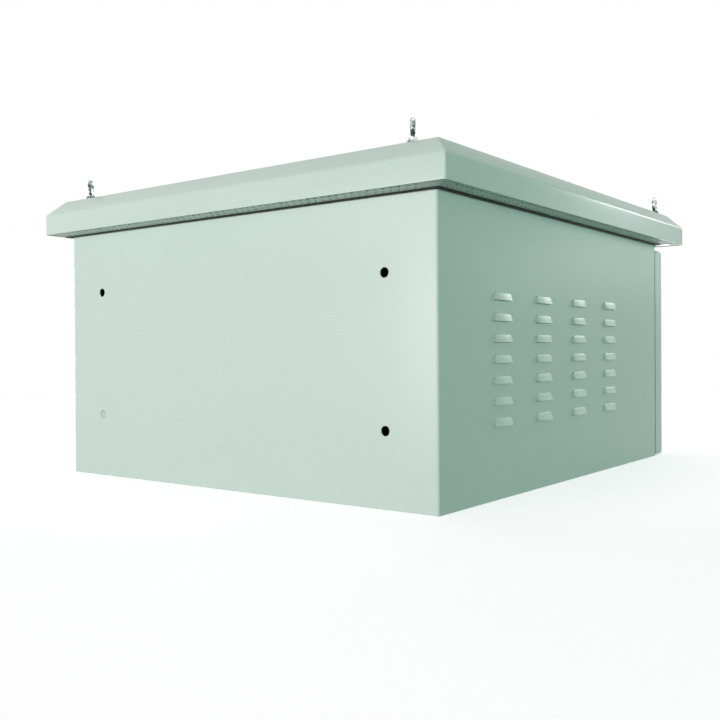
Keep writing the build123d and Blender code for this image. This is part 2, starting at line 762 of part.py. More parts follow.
# Screws and nuts that clamp the rails to the bearers
screw_points = [(y, level) for y in screw_ys for level in bearer_levels]
with BuildPart() as rail_screws:
    for side in (-1, 1):
        with BuildSketch(Plane.YZ.offset(side * (rail_outer_x - rail_sheet))):
            with Locations(*screw_points):
                RegularPolygon(rail_screw_head_radius, screw_flat_count)
        extrude(amount=-side * rail_screw_head_height)
        with BuildSketch(Plane.YZ.offset(side * (rail_outer_x - rail_sheet))):
            with Locations(*screw_points):
                RegularPolygon(rail_screw_radius, screw_flat_count)
        extrude(amount=side * (rail_sheet + sheet + rail_nut_height + rail_screw_radius))
save(rail_screws, "rail_screws")

with BuildPart() as rail_nuts:
    for side in (-1, 1):
        with BuildSketch(Plane.YZ.offset(side * (rail_outer_x + sheet))):
            with Locations(*screw_points):
                RegularPolygon(rail_nut_across_flats / 2, 6, major_radius=False)
                RegularPolygon(rail_screw_radius, screw_flat_count, mode=Mode.SUBTRACT)
        extrude(amount=side * rail_nut_height)
save(rail_nuts, "rail_nuts")

# Filter pads behind the louvres, each in a pressed frame that is screwed to the wall
pad_half_length = filter_half_length - filter_frame_sheet - filter_clearance
pad_half_height = filter_half_height - filter_frame_sheet - filter_clearance
filter_tabs = [
    (louvre_centre_y + end * (filter_half_length + filter_frame_flange / 2), filter_centre_z)
    for end in (-1, 1)
]
for side, side_name in ((-1, "left"), (1, "right")):
    wall_plane = Plane.YZ.offset(side * inner_half_width)
    with BuildPart() as filter_pad:
        with BuildSketch(wall_plane):
            with Locations((louvre_centre_y, filter_centre_z)):
                Rectangle(2 * pad_half_length, 2 * pad_half_height)
        extrude(amount=-side * filter_thickness)
    save(filter_pad, f"filter_pad_{side_name}")
    with BuildPart() as filter_frame:
        with BuildSketch(wall_plane):
            with Locations((louvre_centre_y, filter_centre_z)):
                Rectangle(2 * filter_half_length, 2 * filter_half_height)
        extrude(amount=-side * (filter_thickness + filter_frame_sheet))
        with BuildSketch(wall_plane):
            with Locations((louvre_centre_y, filter_centre_z)):
                Rectangle(
                    2 * (filter_half_length - filter_frame_sheet),
                    2 * (filter_half_height - filter_frame_sheet),
                )
        extrude(amount=-side * filter_thickness, mode=Mode.SUBTRACT)
        with BuildSketch(wall_plane):
            with Locations((louvre_centre_y, filter_centre_z)):
                Rectangle(
                    2 * (filter_half_length - filter_frame_lip),
                    2 * (filter_half_height - filter_frame_lip),
                )
        extrude(amount=-side * (filter_thickness + filter_frame_sheet), mode=Mode.SUBTRACT)
        with BuildSketch(wall_plane):
            with Locations(*filter_tabs):
                Rectangle(filter_frame_flange, 2 * filter_frame_flange)
            with Locations(*filter_tabs):
                RegularPolygon(filter_screw_radius, screw_flat_count, mode=Mode.SUBTRACT)
        extrude(amount=-side * filter_frame_sheet)
    save(filter_frame, f"filter_frame_{side_name}")

with BuildPart() as filter_screws:
    for side in (-1, 1):
        seat = Plane.YZ.offset(side * (inner_half_width - filter_frame_sheet))
        with BuildSketch(seat):
            with Locations(*filter_tabs):
                RegularPolygon(filter_screw_head_radius, screw_flat_count)
        extrude(amount=-side * filter_screw_head_height)
        with BuildSketch(seat):
            with Locations(*filter_tabs):
                RegularPolygon(filter_screw_radius, screw_flat_count)
        extrude(amount=side * filter_frame_sheet)
save(filter_screws, "filter_screws")

# Gland plate over the cable opening, with rubber grommets
gland_plate_top = sheet + gland_plate_thickness
plate_length = cable_opening_length + 2 * gland_plate_margin
plate_width = cable_opening_width + 2 * gland_plate_margin
gland_screw_x = (plate_length - gland_plate_margin) / 2
gland_screw_y = (plate_width - gland_plate_margin) / 2
with BuildPart() as gland_plate:
    with BuildSketch(Plane.XY.offset(sheet)):
        with Locations((0, cable_opening_y)):
            Rectangle(plate_length, plate_width)
            with GridLocations(grommet_pitch, 1, grommet_count, 1):
                RegularPolygon(grommet_hole_radius, disc_flat_count, mode=Mode.SUBTRACT)
            with GridLocations(2 * gland_screw_x, 2 * gland_screw_y, 2, 2):
                RegularPolygon(gland_screw_radius, screw_flat_count, mode=Mode.SUBTRACT)
    extrude(amount=gland_plate_thickness)
save(gland_plate, "gland_plate")

with BuildPart() as gland_screws:
    with BuildSketch(Plane.XY.offset(gland_plate_top)):
        with Locations((0, cable_opening_y)):
            with GridLocations(2 * gland_screw_x, 2 * gland_screw_y, 2, 2):
                RegularPolygon(gland_screw_head_radius, screw_flat_count)
    extrude(amount=gland_screw_head_height)
    with BuildSketch(Plane.XY.offset(gland_plate_top)):
        with Locations((0, cable_opening_y)):
            with GridLocations(2 * gland_screw_x, 2 * gland_screw_y, 2, 2):
                RegularPolygon(gland_screw_radius, screw_flat_count)
    extrude(amount=-gland_plate_thickness)
save(gland_screws, "gland_screws")

grommet_low = sheet - grommet_flange_thickness
grommet_upper = gland_plate_top + grommet_flange_thickness
grommet_tip = grommet_upper + grommet_cone_height


def grommet_disc(radius, level):
    """Draw one round of the grommets at a level."""
    with BuildSketch(Plane.XY.offset(level)) as disc:
        with Locations((0, cable_opening_y)):
            with GridLocations(grommet_pitch, 1, grommet_count, 1):
                RegularPolygon(radius, disc_flat_count)
    return disc.sketch


with BuildPart() as cable_grommets:
    extrude(grommet_disc(grommet_hole_radius + grommet_flange, grommet_low), amount=grommet_flange_thickness)
    extrude(grommet_disc(grommet_hole_radius, sheet), amount=gland_plate_thickness)
    extrude(
        grommet_disc(grommet_hole_radius + grommet_flange, gland_plate_top),
        amount=grommet_flange_thickness,
    )
    extrude(grommet_disc(grommet_cone_radius, grommet_upper), amount=grommet_cone_height)
    extrude(
        grommet_disc(grommet_cone_radius - grommet_membrane, grommet_low),
        amount=grommet_tip - grommet_low - grommet_membrane,
        mode=Mode.SUBTRACT,
    )
save(cable_grommets, "cable_grommets")

# Earth stud welded to the base, with a washer between two nuts
earth_washer_low = sheet + earth_nut_height
earth_washer_high = earth_washer_low + earth_washer_thickness
with BuildPart() as earth_stud:
    with BuildSketch(Plane.XY.offset(sheet)):
        with Locations((earth_x, earth_y)):
            RegularPolygon(earth_stud_radius, screw_flat_count)
    extrude(amount=earth_stud_length)
save(earth_stud, "earth_stud")

with BuildPart() as earth_nuts:
    for level in (sheet, earth_washer_high):
        with BuildSketch(Plane.XY.offset(level)):
            with Locations((earth_x, earth_y)):
                RegularPolygon(earth_nut_across_flats / 2, 6, major_radius=False)
                RegularPolygon(earth_stud_radius, screw_flat_count, mode=Mode.SUBTRACT)
        extrude(amount=earth_nut_height)
save(earth_nuts, "earth_nuts")

with BuildPart() as earth_washer:
    with BuildSketch(Plane.XY.offset(earth_washer_low)):
        with Locations((earth_x, earth_y)):
            RegularPolygon(earth_washer_radius, disc_flat_count)
            RegularPolygon(earth_stud_radius, screw_flat_count, mode=Mode.SUBTRACT)
    extrude(amount=earth_washer_thickness)
save(earth_washer, "earth_washer")
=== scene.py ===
"""Wall mount rack cabinet in pale green powder coat, on a white studio floor.

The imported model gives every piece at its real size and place. This script gives each one its finish, and
models again the pieces whose real form is rounder or finer than their solids: the louvred wrap, the folded
rain hood, the perforated eaves, the lifting eyes, the hole plug, the door, the locks and the hinges.
The classes hold their sizes in millimetres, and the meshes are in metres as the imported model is.
"""

import json
import logging
import math
from contextlib import contextmanager
from dataclasses import dataclass
from enum import Enum
from typing import Callable, Iterator, Sequence

import bmesh
import bpy
from mathutils import Matrix, Vector

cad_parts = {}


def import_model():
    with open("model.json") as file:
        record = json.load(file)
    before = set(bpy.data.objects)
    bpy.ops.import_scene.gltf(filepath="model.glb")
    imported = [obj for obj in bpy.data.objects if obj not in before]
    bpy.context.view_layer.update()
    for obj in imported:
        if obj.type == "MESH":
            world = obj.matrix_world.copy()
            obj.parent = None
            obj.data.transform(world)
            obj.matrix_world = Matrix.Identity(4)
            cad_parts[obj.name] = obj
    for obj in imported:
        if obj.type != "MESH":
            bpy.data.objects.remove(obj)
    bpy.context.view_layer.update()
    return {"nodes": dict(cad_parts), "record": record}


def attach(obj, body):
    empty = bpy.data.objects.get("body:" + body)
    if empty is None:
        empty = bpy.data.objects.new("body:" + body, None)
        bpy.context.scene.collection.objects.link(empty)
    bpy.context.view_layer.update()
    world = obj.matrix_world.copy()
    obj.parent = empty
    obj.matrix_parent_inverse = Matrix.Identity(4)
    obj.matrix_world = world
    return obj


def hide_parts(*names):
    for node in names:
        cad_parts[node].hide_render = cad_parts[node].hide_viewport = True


LOG = logging.getLogger("rack_cabinet")
MM = 0.001
TINY = 0.00005
MARK_DEPTH = 0.00003

Point = tuple[float, float, float]
Colour = tuple[float, float, float]
Piece = bpy.types.Object
Socket = bpy.types.NodeSocket
Test = Callable[..., bool]


class Body(str, Enum):
    """The bodies that pieces ride on."""

    CABINET = "cabinet"
    DOOR = "door"
    LOCK_LOWER = "lock_lower"
    LOCK_UPPER = "lock_upper"


class Slot(str, Enum):
    """The record's material slots."""

    PAINT = "green_paint"
    SHEET = "zinc_steel"
    BRIGHT = "bright_zinc"
    CHROME = "lock_chrome"
    HINGE = "hinge_steel"
    SEAL = "black_seal"
    FILTER = "filter_fibre"
    PLUG = "plug_plastic"


class Maths:
    """A shader value that is written in ordinary arithmetic."""

    def __init__(self, graph: "Graph", socket: Socket) -> None:
        """Hold a value socket of a graph."""
        self.graph = graph
        self.socket = socket

    def _combine(self, operation: str, first: object, second: object) -> "Maths":
        """Give the result of one Math node on two numbers or values."""
        node = self.graph.add("ShaderNodeMath", {"operation": operation}, {0: first, 1: second})
        return Maths(self.graph, node.outputs[0])

    def __add__(self, other: object) -> "Maths":
        """Add."""
        return self._combine("ADD", self, other)

    def __radd__(self, other: object) -> "Maths":
        """Add from the left."""
        return self._combine("ADD", other, self)

    def __sub__(self, other: object) -> "Maths":
        """Subtract."""
        return self._combine("SUBTRACT", self, other)

    def __mul__(self, other: object) -> "Maths":
        """Multiply."""
        return self._combine("MULTIPLY", self, other)

    def at_most(self, other: object) -> "Maths":
        """Keep the smaller of two values."""
        return self._combine("MINIMUM", self, other)

    def at_least(self, other: object) -> "Maths":
        """Keep the larger of two values."""
        return self._combine("MAXIMUM", self, other)

    def above(self, level: float) -> "Maths":
        """Give 1 where the value is above a level, and 0 elsewhere."""
        return self._combine("GREATER_THAN", self, level)


class Graph:
    """The node tree of one material or world."""

    def __init__(self, owner: bpy.types.ID) -> None:
        """Start an empty tree.

        Args:
            owner: the material or world that holds the tree.
        """
        owner.use_nodes = True
        self.tree = owner.node_tree
        self.tree.nodes.clear()

    def add(self, kind: str, settings: dict | None = None, sockets: dict | None = None) -> bpy.types.Node:
        """Add a node, with its settings made before its sockets.

        Args:
            kind: the node's type.
            settings: attributes of the node.
            sockets: values, colours, sockets or Maths by the input's name or number.

        Returns:
            The new node.
        """
        node = self.tree.nodes.new(kind)
        for name, value in (settings or {}).items():
            setattr(node, name, value)
        for name, value in (sockets or {}).items():
            source = value.socket if isinstance(value, Maths) else value
            if isinstance(source, Socket):
                self.tree.links.new(source, node.inputs[name])
            else:
                node.inputs[name].default_value = source
        return node

    def output(self, kind: str, sockets: dict) -> Socket:
        """Add a node that needs no settings and give its first output."""
        return self.add(kind, None, sockets).outputs[0]

    def place(self) -> Socket:
        """Give the Object coordinates, which are the frame's metres."""
        return self.add("ShaderNodeTexCoord").outputs["Object"]

    def noise(self, where: Socket, scale: float, detail: float = 2.0) -> Maths:
        """Add a noise around one half, with its scale in features to a metre and its finer layers."""
        sockets = {"Vector": where, "Scale": scale, "Detail": detail}
        return Maths(self, self.output("ShaderNodeTexNoise", sockets))

    def cells(self, where: Socket, scale: float, output: str, feature: str = "F1") -> Maths:
        """Give one output of a pattern of cells, with its scale in cells to a metre."""
        node = self.add("ShaderNodeTexVoronoi", {"feature": feature}, {"Vector": where, "Scale": scale})
        return Maths(self, node.outputs[output])

    def blend(self, share: object, low: Sequence[float], high: Sequence[float]) -> Socket:
        """Blend two colours.

        Args:
            share: how much of the second colour shows.
            low: the first colour.
            high: the second colour.

        Returns:
            The blended colour.
        """
        first, second = (c if isinstance(c, Socket) else (*c, 1.0) for c in (low, high))
        node = self.add("ShaderNodeMix", {"data_type": "RGBA"}, {0: share, 6: first, 7: second})
        return node.outputs[2]

    def relief(self, height: Maths, strength: float, depth: float, under: Socket | None = None) -> Socket:
        """Turn a height into a bumped normal.

        Args:
            height: the pattern's height, from 0 to 1.
            strength: how much of the bump shows.
            depth: the pattern's depth in metres.
            under: a normal that is already bumped.

        Returns:
            The new normal.
        """
        sockets = {"Height": height, "Strength": strength, "Distance": depth}
        if under is not None:
            sockets["Normal"] = under
        return self.output("ShaderNodeBump", sockets)

    def surface(self, sockets: dict) -> None:
        """End the tree with a Principled shader."""
        shader = self.output("ShaderNodeBsdfPrincipled", sockets)
        self.add("ShaderNodeOutputMaterial", None, {"Surface": shader})


@dataclass(frozen=True)
class Finish:
    """A finish that makes one material the first time it is asked for."""

    name: str

    def material(self) -> bpy.types.Material:
        """Give the finish's material.

        Returns:
            The material, made once and shared by all that wear the finish.
        """
        known = bpy.data.materials.get(self.name)
        if known is not None:
            return known
        made = bpy.data.materials.new(self.name)
        graph = Graph(made)
        graph.surface(self.compose(graph, graph.place()))
        return made

    def compose(self, graph: Graph, where: Socket) -> dict:
        """Build the finish's patterns; each finish has its own.

        Args:
            graph: the tree that they belong to.
            where: the coordinates that they follow.

        Returns:
            The shader's inputs.
        """
        raise NotImplementedError

    def put_on(self, piece: Piece) -> None:
        """Dress a piece or a carried node in this finish.

        Args:
            piece: what wears it.
        """
        material = self.material()
        if piece.material_slots:
            for slot in piece.material_slots:
                slot.material = material
        else:
            piece.data.materials.append(material)


@dataclass(frozen=True)
class PowderCoat(Finish):
    """Pale green powder coat with an orange peel, a fine grain and small painted glints: sparse cells painted
    lighter, with a lower roughness.
    """

    colour: Colour = (0.51, 0.66, 0.585)
    drift: float = 0.06
    roughness: float = 0.32
    gloss: float = 0.20
    peel_scale: float = 330.0
    peel_depth: float = 0.00022
    grain_scale: float = 760.0
    grain_depth: float = 0.00006
    # The glint cells are painted highlights: sparse spots of lighter base colour.
    glint_scale: float = 820.0
    glint_level: float = 0.91
    painted_glint_share: float = 0.28
    painted_glint_colour: Colour = (0.92, 0.96, 0.93)

    def compose(self, graph: Graph, where: Socket) -> dict:
        """Build the powder coat.

        Args:
            graph: the tree that it belongs to.
            where: the coordinates that it follows.

        Returns:
            The shader's inputs.
        """
        cloud = graph.noise(where, 4.0, 3.0)
        grain = graph.noise(where, self.grain_scale, 1.0)
        peel = graph.noise(where, self.peel_scale, 2.0)
        glint = graph.cells(where, self.glint_scale, "Color").above(self.glint_level)
        darker = [c * (1 - self.drift) for c in self.colour]
        lighter = [min(1.0, c * (1 + self.drift)) for c in self.colour]
        tone = graph.blend(cloud * 0.6 + grain * 0.8 - 0.2, darker, lighter)
        # Painted glints: sparse cells are lightened towards the glint colour, highlights painted into the
        # coat's colour.
        tint = graph.blend(glint * self.painted_glint_share, tone, self.painted_glint_colour)
        rough = self.roughness + (grain - 0.5) * 0.16 - glint * 0.10
        peeled = graph.relief(peel, 0.22, self.peel_depth)
        return {
            "Base Color": tint,
            "Roughness": rough,
            "Specular IOR Level": self.gloss,
            "Normal": graph.relief(grain, 0.16, self.grain_depth, peeled),
        }


@dataclass(frozen=True)
class PlatedSteel(Finish):
    """Bright plated steel with a mottle and fine marks from turning: a bloom on the plain plated parts, and
    on the lifting eyes dark green patches that are painted reflections of the cabinet.
    """

    colour: Colour = (0.74, 0.75, 0.76)
    mottle: Colour = (0.50, 0.52, 0.51)
    roughness: float = 0.20
    mark_scale: float = 900.0
    mottle_scale: float = 160.0
    mottle_share: float = 1.0

    def compose(self, graph: Graph, where: Socket) -> dict:
        """Build the plating.

        Args:
            graph: the tree that it belongs to.
            where: the coordinates that it follows.

        Returns:
            The shader's inputs.
        """
        # The mottle colour is a bloom on plain plating, and painted reflection of the green cabinet on the
        # lifting eyes.
        cloud = graph.noise(where, self.mottle_scale, 3.0)
        marks = graph.noise(where, self.mark_scale, 2.0)
        clear = ((cloud - 0.5) * self.mottle_share + 0.5).at_least(0.0).at_most(1.0)
        return {
            "Base Color": graph.blend(clear, self.mottle, self.colour),
            "Metallic": 1.0,
            "Roughness": self.roughness + (cloud - 0.5) * 0.20 + (marks - 0.5) * 0.10,
            "Normal": graph.relief(marks, 0.15, MARK_DEPTH),
        }


@dataclass(frozen=True)
class GalvanisedSheet(Finish):
    """Galvanised sheet with a small spangle."""

    dark: Colour = (0.42, 0.44, 0.45)
    light: Colour = (0.66, 0.68, 0.69)
    spangle_scale: float = 140.0

    def compose(self, graph: Graph, where: Socket) -> dict:
        """Build the spangle.

        Args:
            graph: the tree that it belongs to.
            where: the coordinates that it follows.

        Returns:
            The shader's inputs.
        """
        spangle = graph.cells(where, self.spangle_scale, "Color")
        cloud = graph.noise(where, 30.0, 3.0)
        dust = graph.noise(where, 1200.0, 1.0)
        return {
            "Base Color": graph.blend(spangle * 0.6 + cloud * 0.4, self.dark, self.light),
            "Metallic": 0.9,
            "Roughness": 0.34 + spangle * 0.16 + dust * 0.06,
            "Normal": graph.relief(dust, 0.10, MARK_DEPTH),
        }


@dataclass(frozen=True)
class MattBlack(Finish):
    """Black rubber or cell foam."""

    colour: Colour = (0.013, 0.016, 0.015)
    roughness: float = 0.72
    cell_scale: float = 1100.0
    cell_depth: float = 0.0002
    mottle: float = 1.9
    gloss: float = 0.12

    def compose(self, graph: Graph, where: Socket) -> dict:
        """Build the rubber or foam.

        Args:
            graph: the tree that it belongs to.
            where: the coordinates that it follows.

        Returns:
            The shader's inputs.
        """
        pores = graph.cells(where, self.cell_scale, "Distance")
        cloud = graph.noise(where, 60.0, 3.0)
        paler = [c * self.mottle for c in self.colour]
        return {
            "Base Color": graph.blend(cloud * 0.5 + pores * 0.5, self.colour, paler),
            "Roughness": self.roughness + (cloud - 0.5) * 0.12,
            "Specular IOR Level": self.gloss,
            "Normal": graph.relief(pores, 0.5, self.cell_depth),
        }


@dataclass(frozen=True)
class FilterMat(Finish):
    """Dark filter mat of coarse fibres."""

    dark: Colour = (0.035, 0.037, 0.036)
    light: Colour = (0.12, 0.125, 0.12)
    fibre_scale: float = 420.0
    tuft_scale: float = 300.0
    tuft_depth: float = 0.0012

    def compose(self, graph: Graph, where: Socket) -> dict:
        """Build the mat.

        Args:
            graph: the tree that it belongs to.
            where: the coordinates that it follows.

        Returns:
            The shader's inputs.
        """
        fibres = graph.noise(where, self.fibre_scale, 8.0)
        tufts = graph.cells(where, self.tuft_scale, "Distance", "SMOOTH_F1")
        return {
            "Base Color": graph.blend(fibres * 0.7 + tufts * 0.5, self.dark, self.light),
            "Roughness": 0.95,
            "Normal": graph.relief(fibres + tufts * 0.5, 0.9, self.tuft_depth),
        }


class Finishes:
    """The finishes of the cabinet."""

    PAINT = PowderCoat("green_powder_coat")
    PLUG = PowderCoat("plug_green_plastic", colour=(0.45, 0.59, 0.515), roughness=0.5, grain_scale=2200.0)
    BRIGHT = PlatedSteel("bright_zinc_plate")
    # The lifting eyes' dark green mottle paints the reflections of the green cabinet and roof in their plate.
    EYE = PlatedSteel("cast_zinc_plate", (0.66, 0.70, 0.68), (0.07, 0.10, 0.09), 0.18, 600.0, 130.0, 5.0)
    CHROME = PlatedSteel("polished_lock", (0.86, 0.86, 0.87), (0.80, 0.80, 0.82), 0.09)
    SHEET = GalvanisedSheet("galvanised_sheet")
    RUBBER = MattBlack("black_rubber", roughness=0.6, cell_depth=0.00004)
    FOAM = MattBlack("black_foam", (0.028, 0.028, 0.03), 0.95, 800.0, 0.0005)
    FILTER = FilterMat("filter_mat")


SLOT_FINISHES = {
    Slot.PAINT: Finishes.PAINT,
    Slot.SHEET: Finishes.SHEET,
    Slot.BRIGHT: Finishes.BRIGHT,
    Slot.CHROME: Finishes.CHROME,
    Slot.HINGE: Finishes.PAINT,
    Slot.SEAL: Finishes.RUBBER,
    Slot.FILTER: Finishes.FILTER,
    Slot.PLUG: Finishes.PLUG,
}


def metres(point: Sequence[float]) -> Vector:
    """Turn a point in millimetres into metres."""
    return Vector(point) * MM


def clear_selection() -> None:
    """Leave nothing selected and nothing active."""
    bpy.ops.object.select_all(action="DESELECT")
    bpy.context.view_layer.objects.active = None


def take(piece: Piece) -> None:
    """Select one piece alone and make it active.

    Args:
        piece: the piece.
    """
    clear_selection()
    piece.select_set(True)
    bpy.context.view_layer.objects.active = piece


def named(name: str) -> Piece:
    """Name the piece that was just added.

    Args:
        name: its name, which its mesh gets too.

    Returns:
        The piece.
    """
    piece = bpy.context.active_object
    piece.name = piece.data.name = name
    return piece


def settle(piece: Piece) -> Piece:
    """Put a piece's place into its mesh, so that its object sits at the origin.

    Args:
        piece: the piece.

    Returns:
        The same piece.
    """
    take(piece)
    bpy.ops.object.transform_apply(location=True, rotation=True, scale=True)
    return piece


@contextmanager
def editing(piece: Piece) -> Iterator[None]:
    """Hold a piece in edit mode, with nothing selected at the start.

    Args:
        piece: the piece.
    """
    take(piece)
    bpy.ops.object.mode_set(mode="EDIT")
    bpy.ops.mesh.select_mode(type="VERT")
    bpy.ops.mesh.select_all(action="DESELECT")
    try:
        yield
    finally:
        bpy.ops.object.mode_set(mode="OBJECT")


def pick(piece: Piece, kind: str, wanted: Test) -> None:
    """Select the points, edges or faces of a piece in edit mode that are wanted.

    Args:
        piece: the piece.
        kind: VERT, EDGE or FACE.
        wanted: the test, which is given a point's place, an edge's two ends, or a face's middle and normal.
    """
    bpy.ops.mesh.select_mode(type=kind)
    mesh = bmesh.from_edit_mesh(piece.data)
    if kind == "VERT":
        facts = [(point, (point.co,)) for point in mesh.verts]
    elif kind == "EDGE":
        facts = [(edge, (edge.verts[0].co, edge.verts[1].co)) for edge in mesh.edges]
    else:
        facts = [(face, (face.calc_center_median(), face.normal)) for face in mesh.faces]
    for part, places in facts:
        part.select_set(wanted(*places))
    mesh.select_flush_mode()
    bmesh.update_edit_mesh(piece.data)


def bevel(piece: Piece, width: float, segments: int, wanted: Test, clamp: bool = False) -> None:
    """Bevel the wanted edges of a piece in edit mode, with the width in millimetres."""
    pick(piece, "EDGE", wanted)
    bpy.ops.mesh.bevel(offset=width * MM, segments=segments, affect="EDGES", clamp_overlap=clamp)


def cut_away(piece: Piece, wanted: Test) -> None:
    """Delete the wanted faces of a piece in edit mode."""
    pick(piece, "FACE", wanted)
    bpy.ops.mesh.delete(type="FACE")


def near(value: float, level: float) -> bool:
    """Tell whether a value in metres is at a level in millimetres."""
    return abs(value - level * MM) < TINY


def both_near(first: float, second: float, level: float) -> bool:
    """Tell whether two values in metres are at a level in millimetres."""
    return near(first, level) and near(second, level)


def box_of(*points: Sequence[float]) -> tuple[list[float], list[float]]:
    """Give the lowest and the highest corner of some points."""
    return [min(values) for values in zip(*points)], [max(values) for values in zip(*points)]


def add_block(name: str, low: Point, high: Point) -> Piece:
    """Add a box between two corners in millimetres.

    Args:
        name: the new piece's name.
        low: its lowest corner.
        high: its highest corner.

    Returns:
        The box, with its place in its mesh.
    """
    clear_selection()
    corner, far = metres(low), metres(high)
    bpy.ops.mesh.primitive_cube_add(size=1.0, location=(corner + far) / 2)
    piece = named(name)
    piece.scale = far - corner
    return settle(piece)


def add_rod(name: str, radius: float, start: Point, end: Point, sides: int = 48) -> Piece:
    """Add a round rod between two points in millimetres.

    Args:
        name: the new piece's name.
        radius: its radius in millimetres.
        start: the middle of one end.
        end: the middle of the other end.
        sides: how many flats stand for its round.

    Returns:
        The rod, with its place in its mesh.
    """
    clear_selection()
    first, last = metres(start), metres(end)
    bpy.ops.mesh.primitive_cylinder_add(
        vertices=sides, radius=radius * MM, depth=(last - first).length, location=(first + last) / 2
    )
    piece = named(name)
    piece.rotation_euler = (last - first).to_track_quat("Z", "Y").to_euler()
    return settle(piece)


def turn(name: str, profile: Sequence[tuple[float, float]], steps: int = 64) -> Piece:
    """Turn an outline about the Z axis, as on a lathe.

    Args:
        name: the new piece's name.
        profile: the outline's points as radius and height in millimetres, from the axis to the axis for a
            solid form, or closed on itself for a ring.
        steps: how many flats stand for its round.

    Returns:
        The turned piece, about the Z axis through the origin.
    """
    clear_selection()
    bpy.ops.mesh.primitive_plane_add(size=MM)
    piece = named(name)
    with editing(piece):
        bpy.ops.mesh.select_all(action="SELECT")
        bpy.ops.mesh.merge(type="CENTER")
        bpy.ops.mesh.select_all(action="SELECT")
        spot = (0.0, 0.0)
        for index, (radius, height) in enumerate(profile):
            step = ((radius - spot[0]) * MM, 0.0, (height - spot[1]) * MM)
            if index == 0:
                bpy.ops.transform.translate(value=step)
            else:
                bpy.ops.mesh.extrude_vertices_move(TRANSFORM_OT_translate={"value": step})
            spot = (radius, height)
        bpy.ops.mesh.select_all(action="SELECT")
        bpy.ops.mesh.spin(steps=steps, angle=math.tau, center=(0, 0, 0), axis=(0, 0, 1))
        bpy.ops.mesh.select_all(action="SELECT")
        bpy.ops.mesh.remove_doubles(threshold=MM / 100)
        bpy.ops.mesh.select_all(action="SELECT")
        bpy.ops.mesh.normals_make_consistent(inside=False)
    return piece


def stand(piece: Piece, place: Point, direction: Point) -> Piece:
    """Put a turned piece where it belongs.

    Args:
        piece: a piece that was made about the Z axis at the origin.
        place: where its origin goes, in millimetres.
        direction: where its Z axis points.

    Returns:
        The piece, with its place in its mesh.
    """
    turned = Vector(direction).to_track_quat("Z", "Y").to_matrix().to_4x4()
    piece.data.transform(Matrix.Translation(metres(place)) @ turned)
    return piece


def copy_of(piece: Piece, name: str, move: Matrix) -> Piece:
    """Copy a piece with a mesh of its own and move the copy.

    Args:
        piece: the piece to copy.
        name: the copy's name.
        move: how the copy's mesh is moved.

    Returns:
        The copy.
    """
    take(piece)
    bpy.ops.object.duplicate(linked=False)
    made = named(name)
    made.data.transform(move)
    return made


def remove(piece: Piece) -> None:
    """Delete a helper piece with its mesh.

    Args:
        piece: the helper.
    """
    mesh = piece.data
    bpy.data.objects.remove(piece)
    bpy.data.meshes.remove(mesh)


def join(pieces: Sequence[Piece], name: str) -> Piece:
    """Join several pieces into the first one.

    Args:
        pieces: the pieces.
        name: the new name of the first one.

    Returns:
        The first piece.
    """
    clear_selection()
    for piece in pieces:
        piece.select_set(True)
    bpy.context.view_layer.objects.active = pieces[0]
    if len(pieces) > 1:
        bpy.ops.object.join()
    pieces[0].name = pieces[0].data.name = name
    return pieces[0]


def modify(piece: Piece, kind: str, settings: dict) -> None:
    """Add a modifier with its settings and apply it.

    Args:
        piece: the piece that it changes.
        kind: the modifier's type.
        settings: its attributes.
    """
    take(piece)
    modifier = piece.modifiers.new(kind.lower(), kind)
    for name, value in settings.items():
        setattr(modifier, name, value)
    bpy.ops.object.modifier_apply(modifier=modifier.name)


class Cut(str, Enum):
    """The ways in which one piece changes another."""

    TAKE_OUT = "DIFFERENCE"
    MERGE = "UNION"


def combine(piece: Piece, tool: Piece, way: Cut) -> None:
    """Cut or merge a piece with a tool, and delete the tool."""
    modify(piece, "BOOLEAN", {"operation": way.value, "object": tool, "solver": "EXACT"})
    remove(tool)


def thicken(piece: Piece, sheet: float, even: bool = True) -> None:
    """Give a folded skin its sheet's thickness, inwards and in millimetres."""
    modify(piece, "SOLIDIFY", {"thickness": sheet * MM, "offset": -1.0, "use_even_offset": even})


def round_edges(piece: Piece, width: float, segments: int = 2, angle: float = 40.0) -> None:
    """Round every edge that is sharper than an angle, with the width in millimetres."""
    limits = {"limit_method": "ANGLE", "angle_limit": math.radians(angle), "harden_normals": False}
    modify(piece, "BEVEL", {"width": width * MM, "segments": segments, **limits})


def smooth(piece: Piece, angle: float = 32.0) -> None:
    """Shade a piece smoothly, apart from edges sharper than an angle."""
    take(piece)
    bpy.ops.object.shade_smooth_by_angle(angle=math.radians(angle))


def present(
    piece: Piece, body: Body, slot: Slot, nodes: Sequence[str] = (), finish: Finish | None = None
) -> None:
    """Finish a new piece and let it ride.

    Args:
        piece: the piece, with its place in its mesh.
        body: the body that it rides on.
        slot: the record's slot that it takes its finish from.
        nodes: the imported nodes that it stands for.
        finish: its finish, where that isn't its slot's own.
    """
    smooth(piece)
    (finish or SLOT_FINISHES[slot]).put_on(piece)
    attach(piece, body.value)
    if nodes:
        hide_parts(*nodes)
    LOG.info("%s rides on %s, %d faces", piece.name, body.value, len(piece.data.polygons))


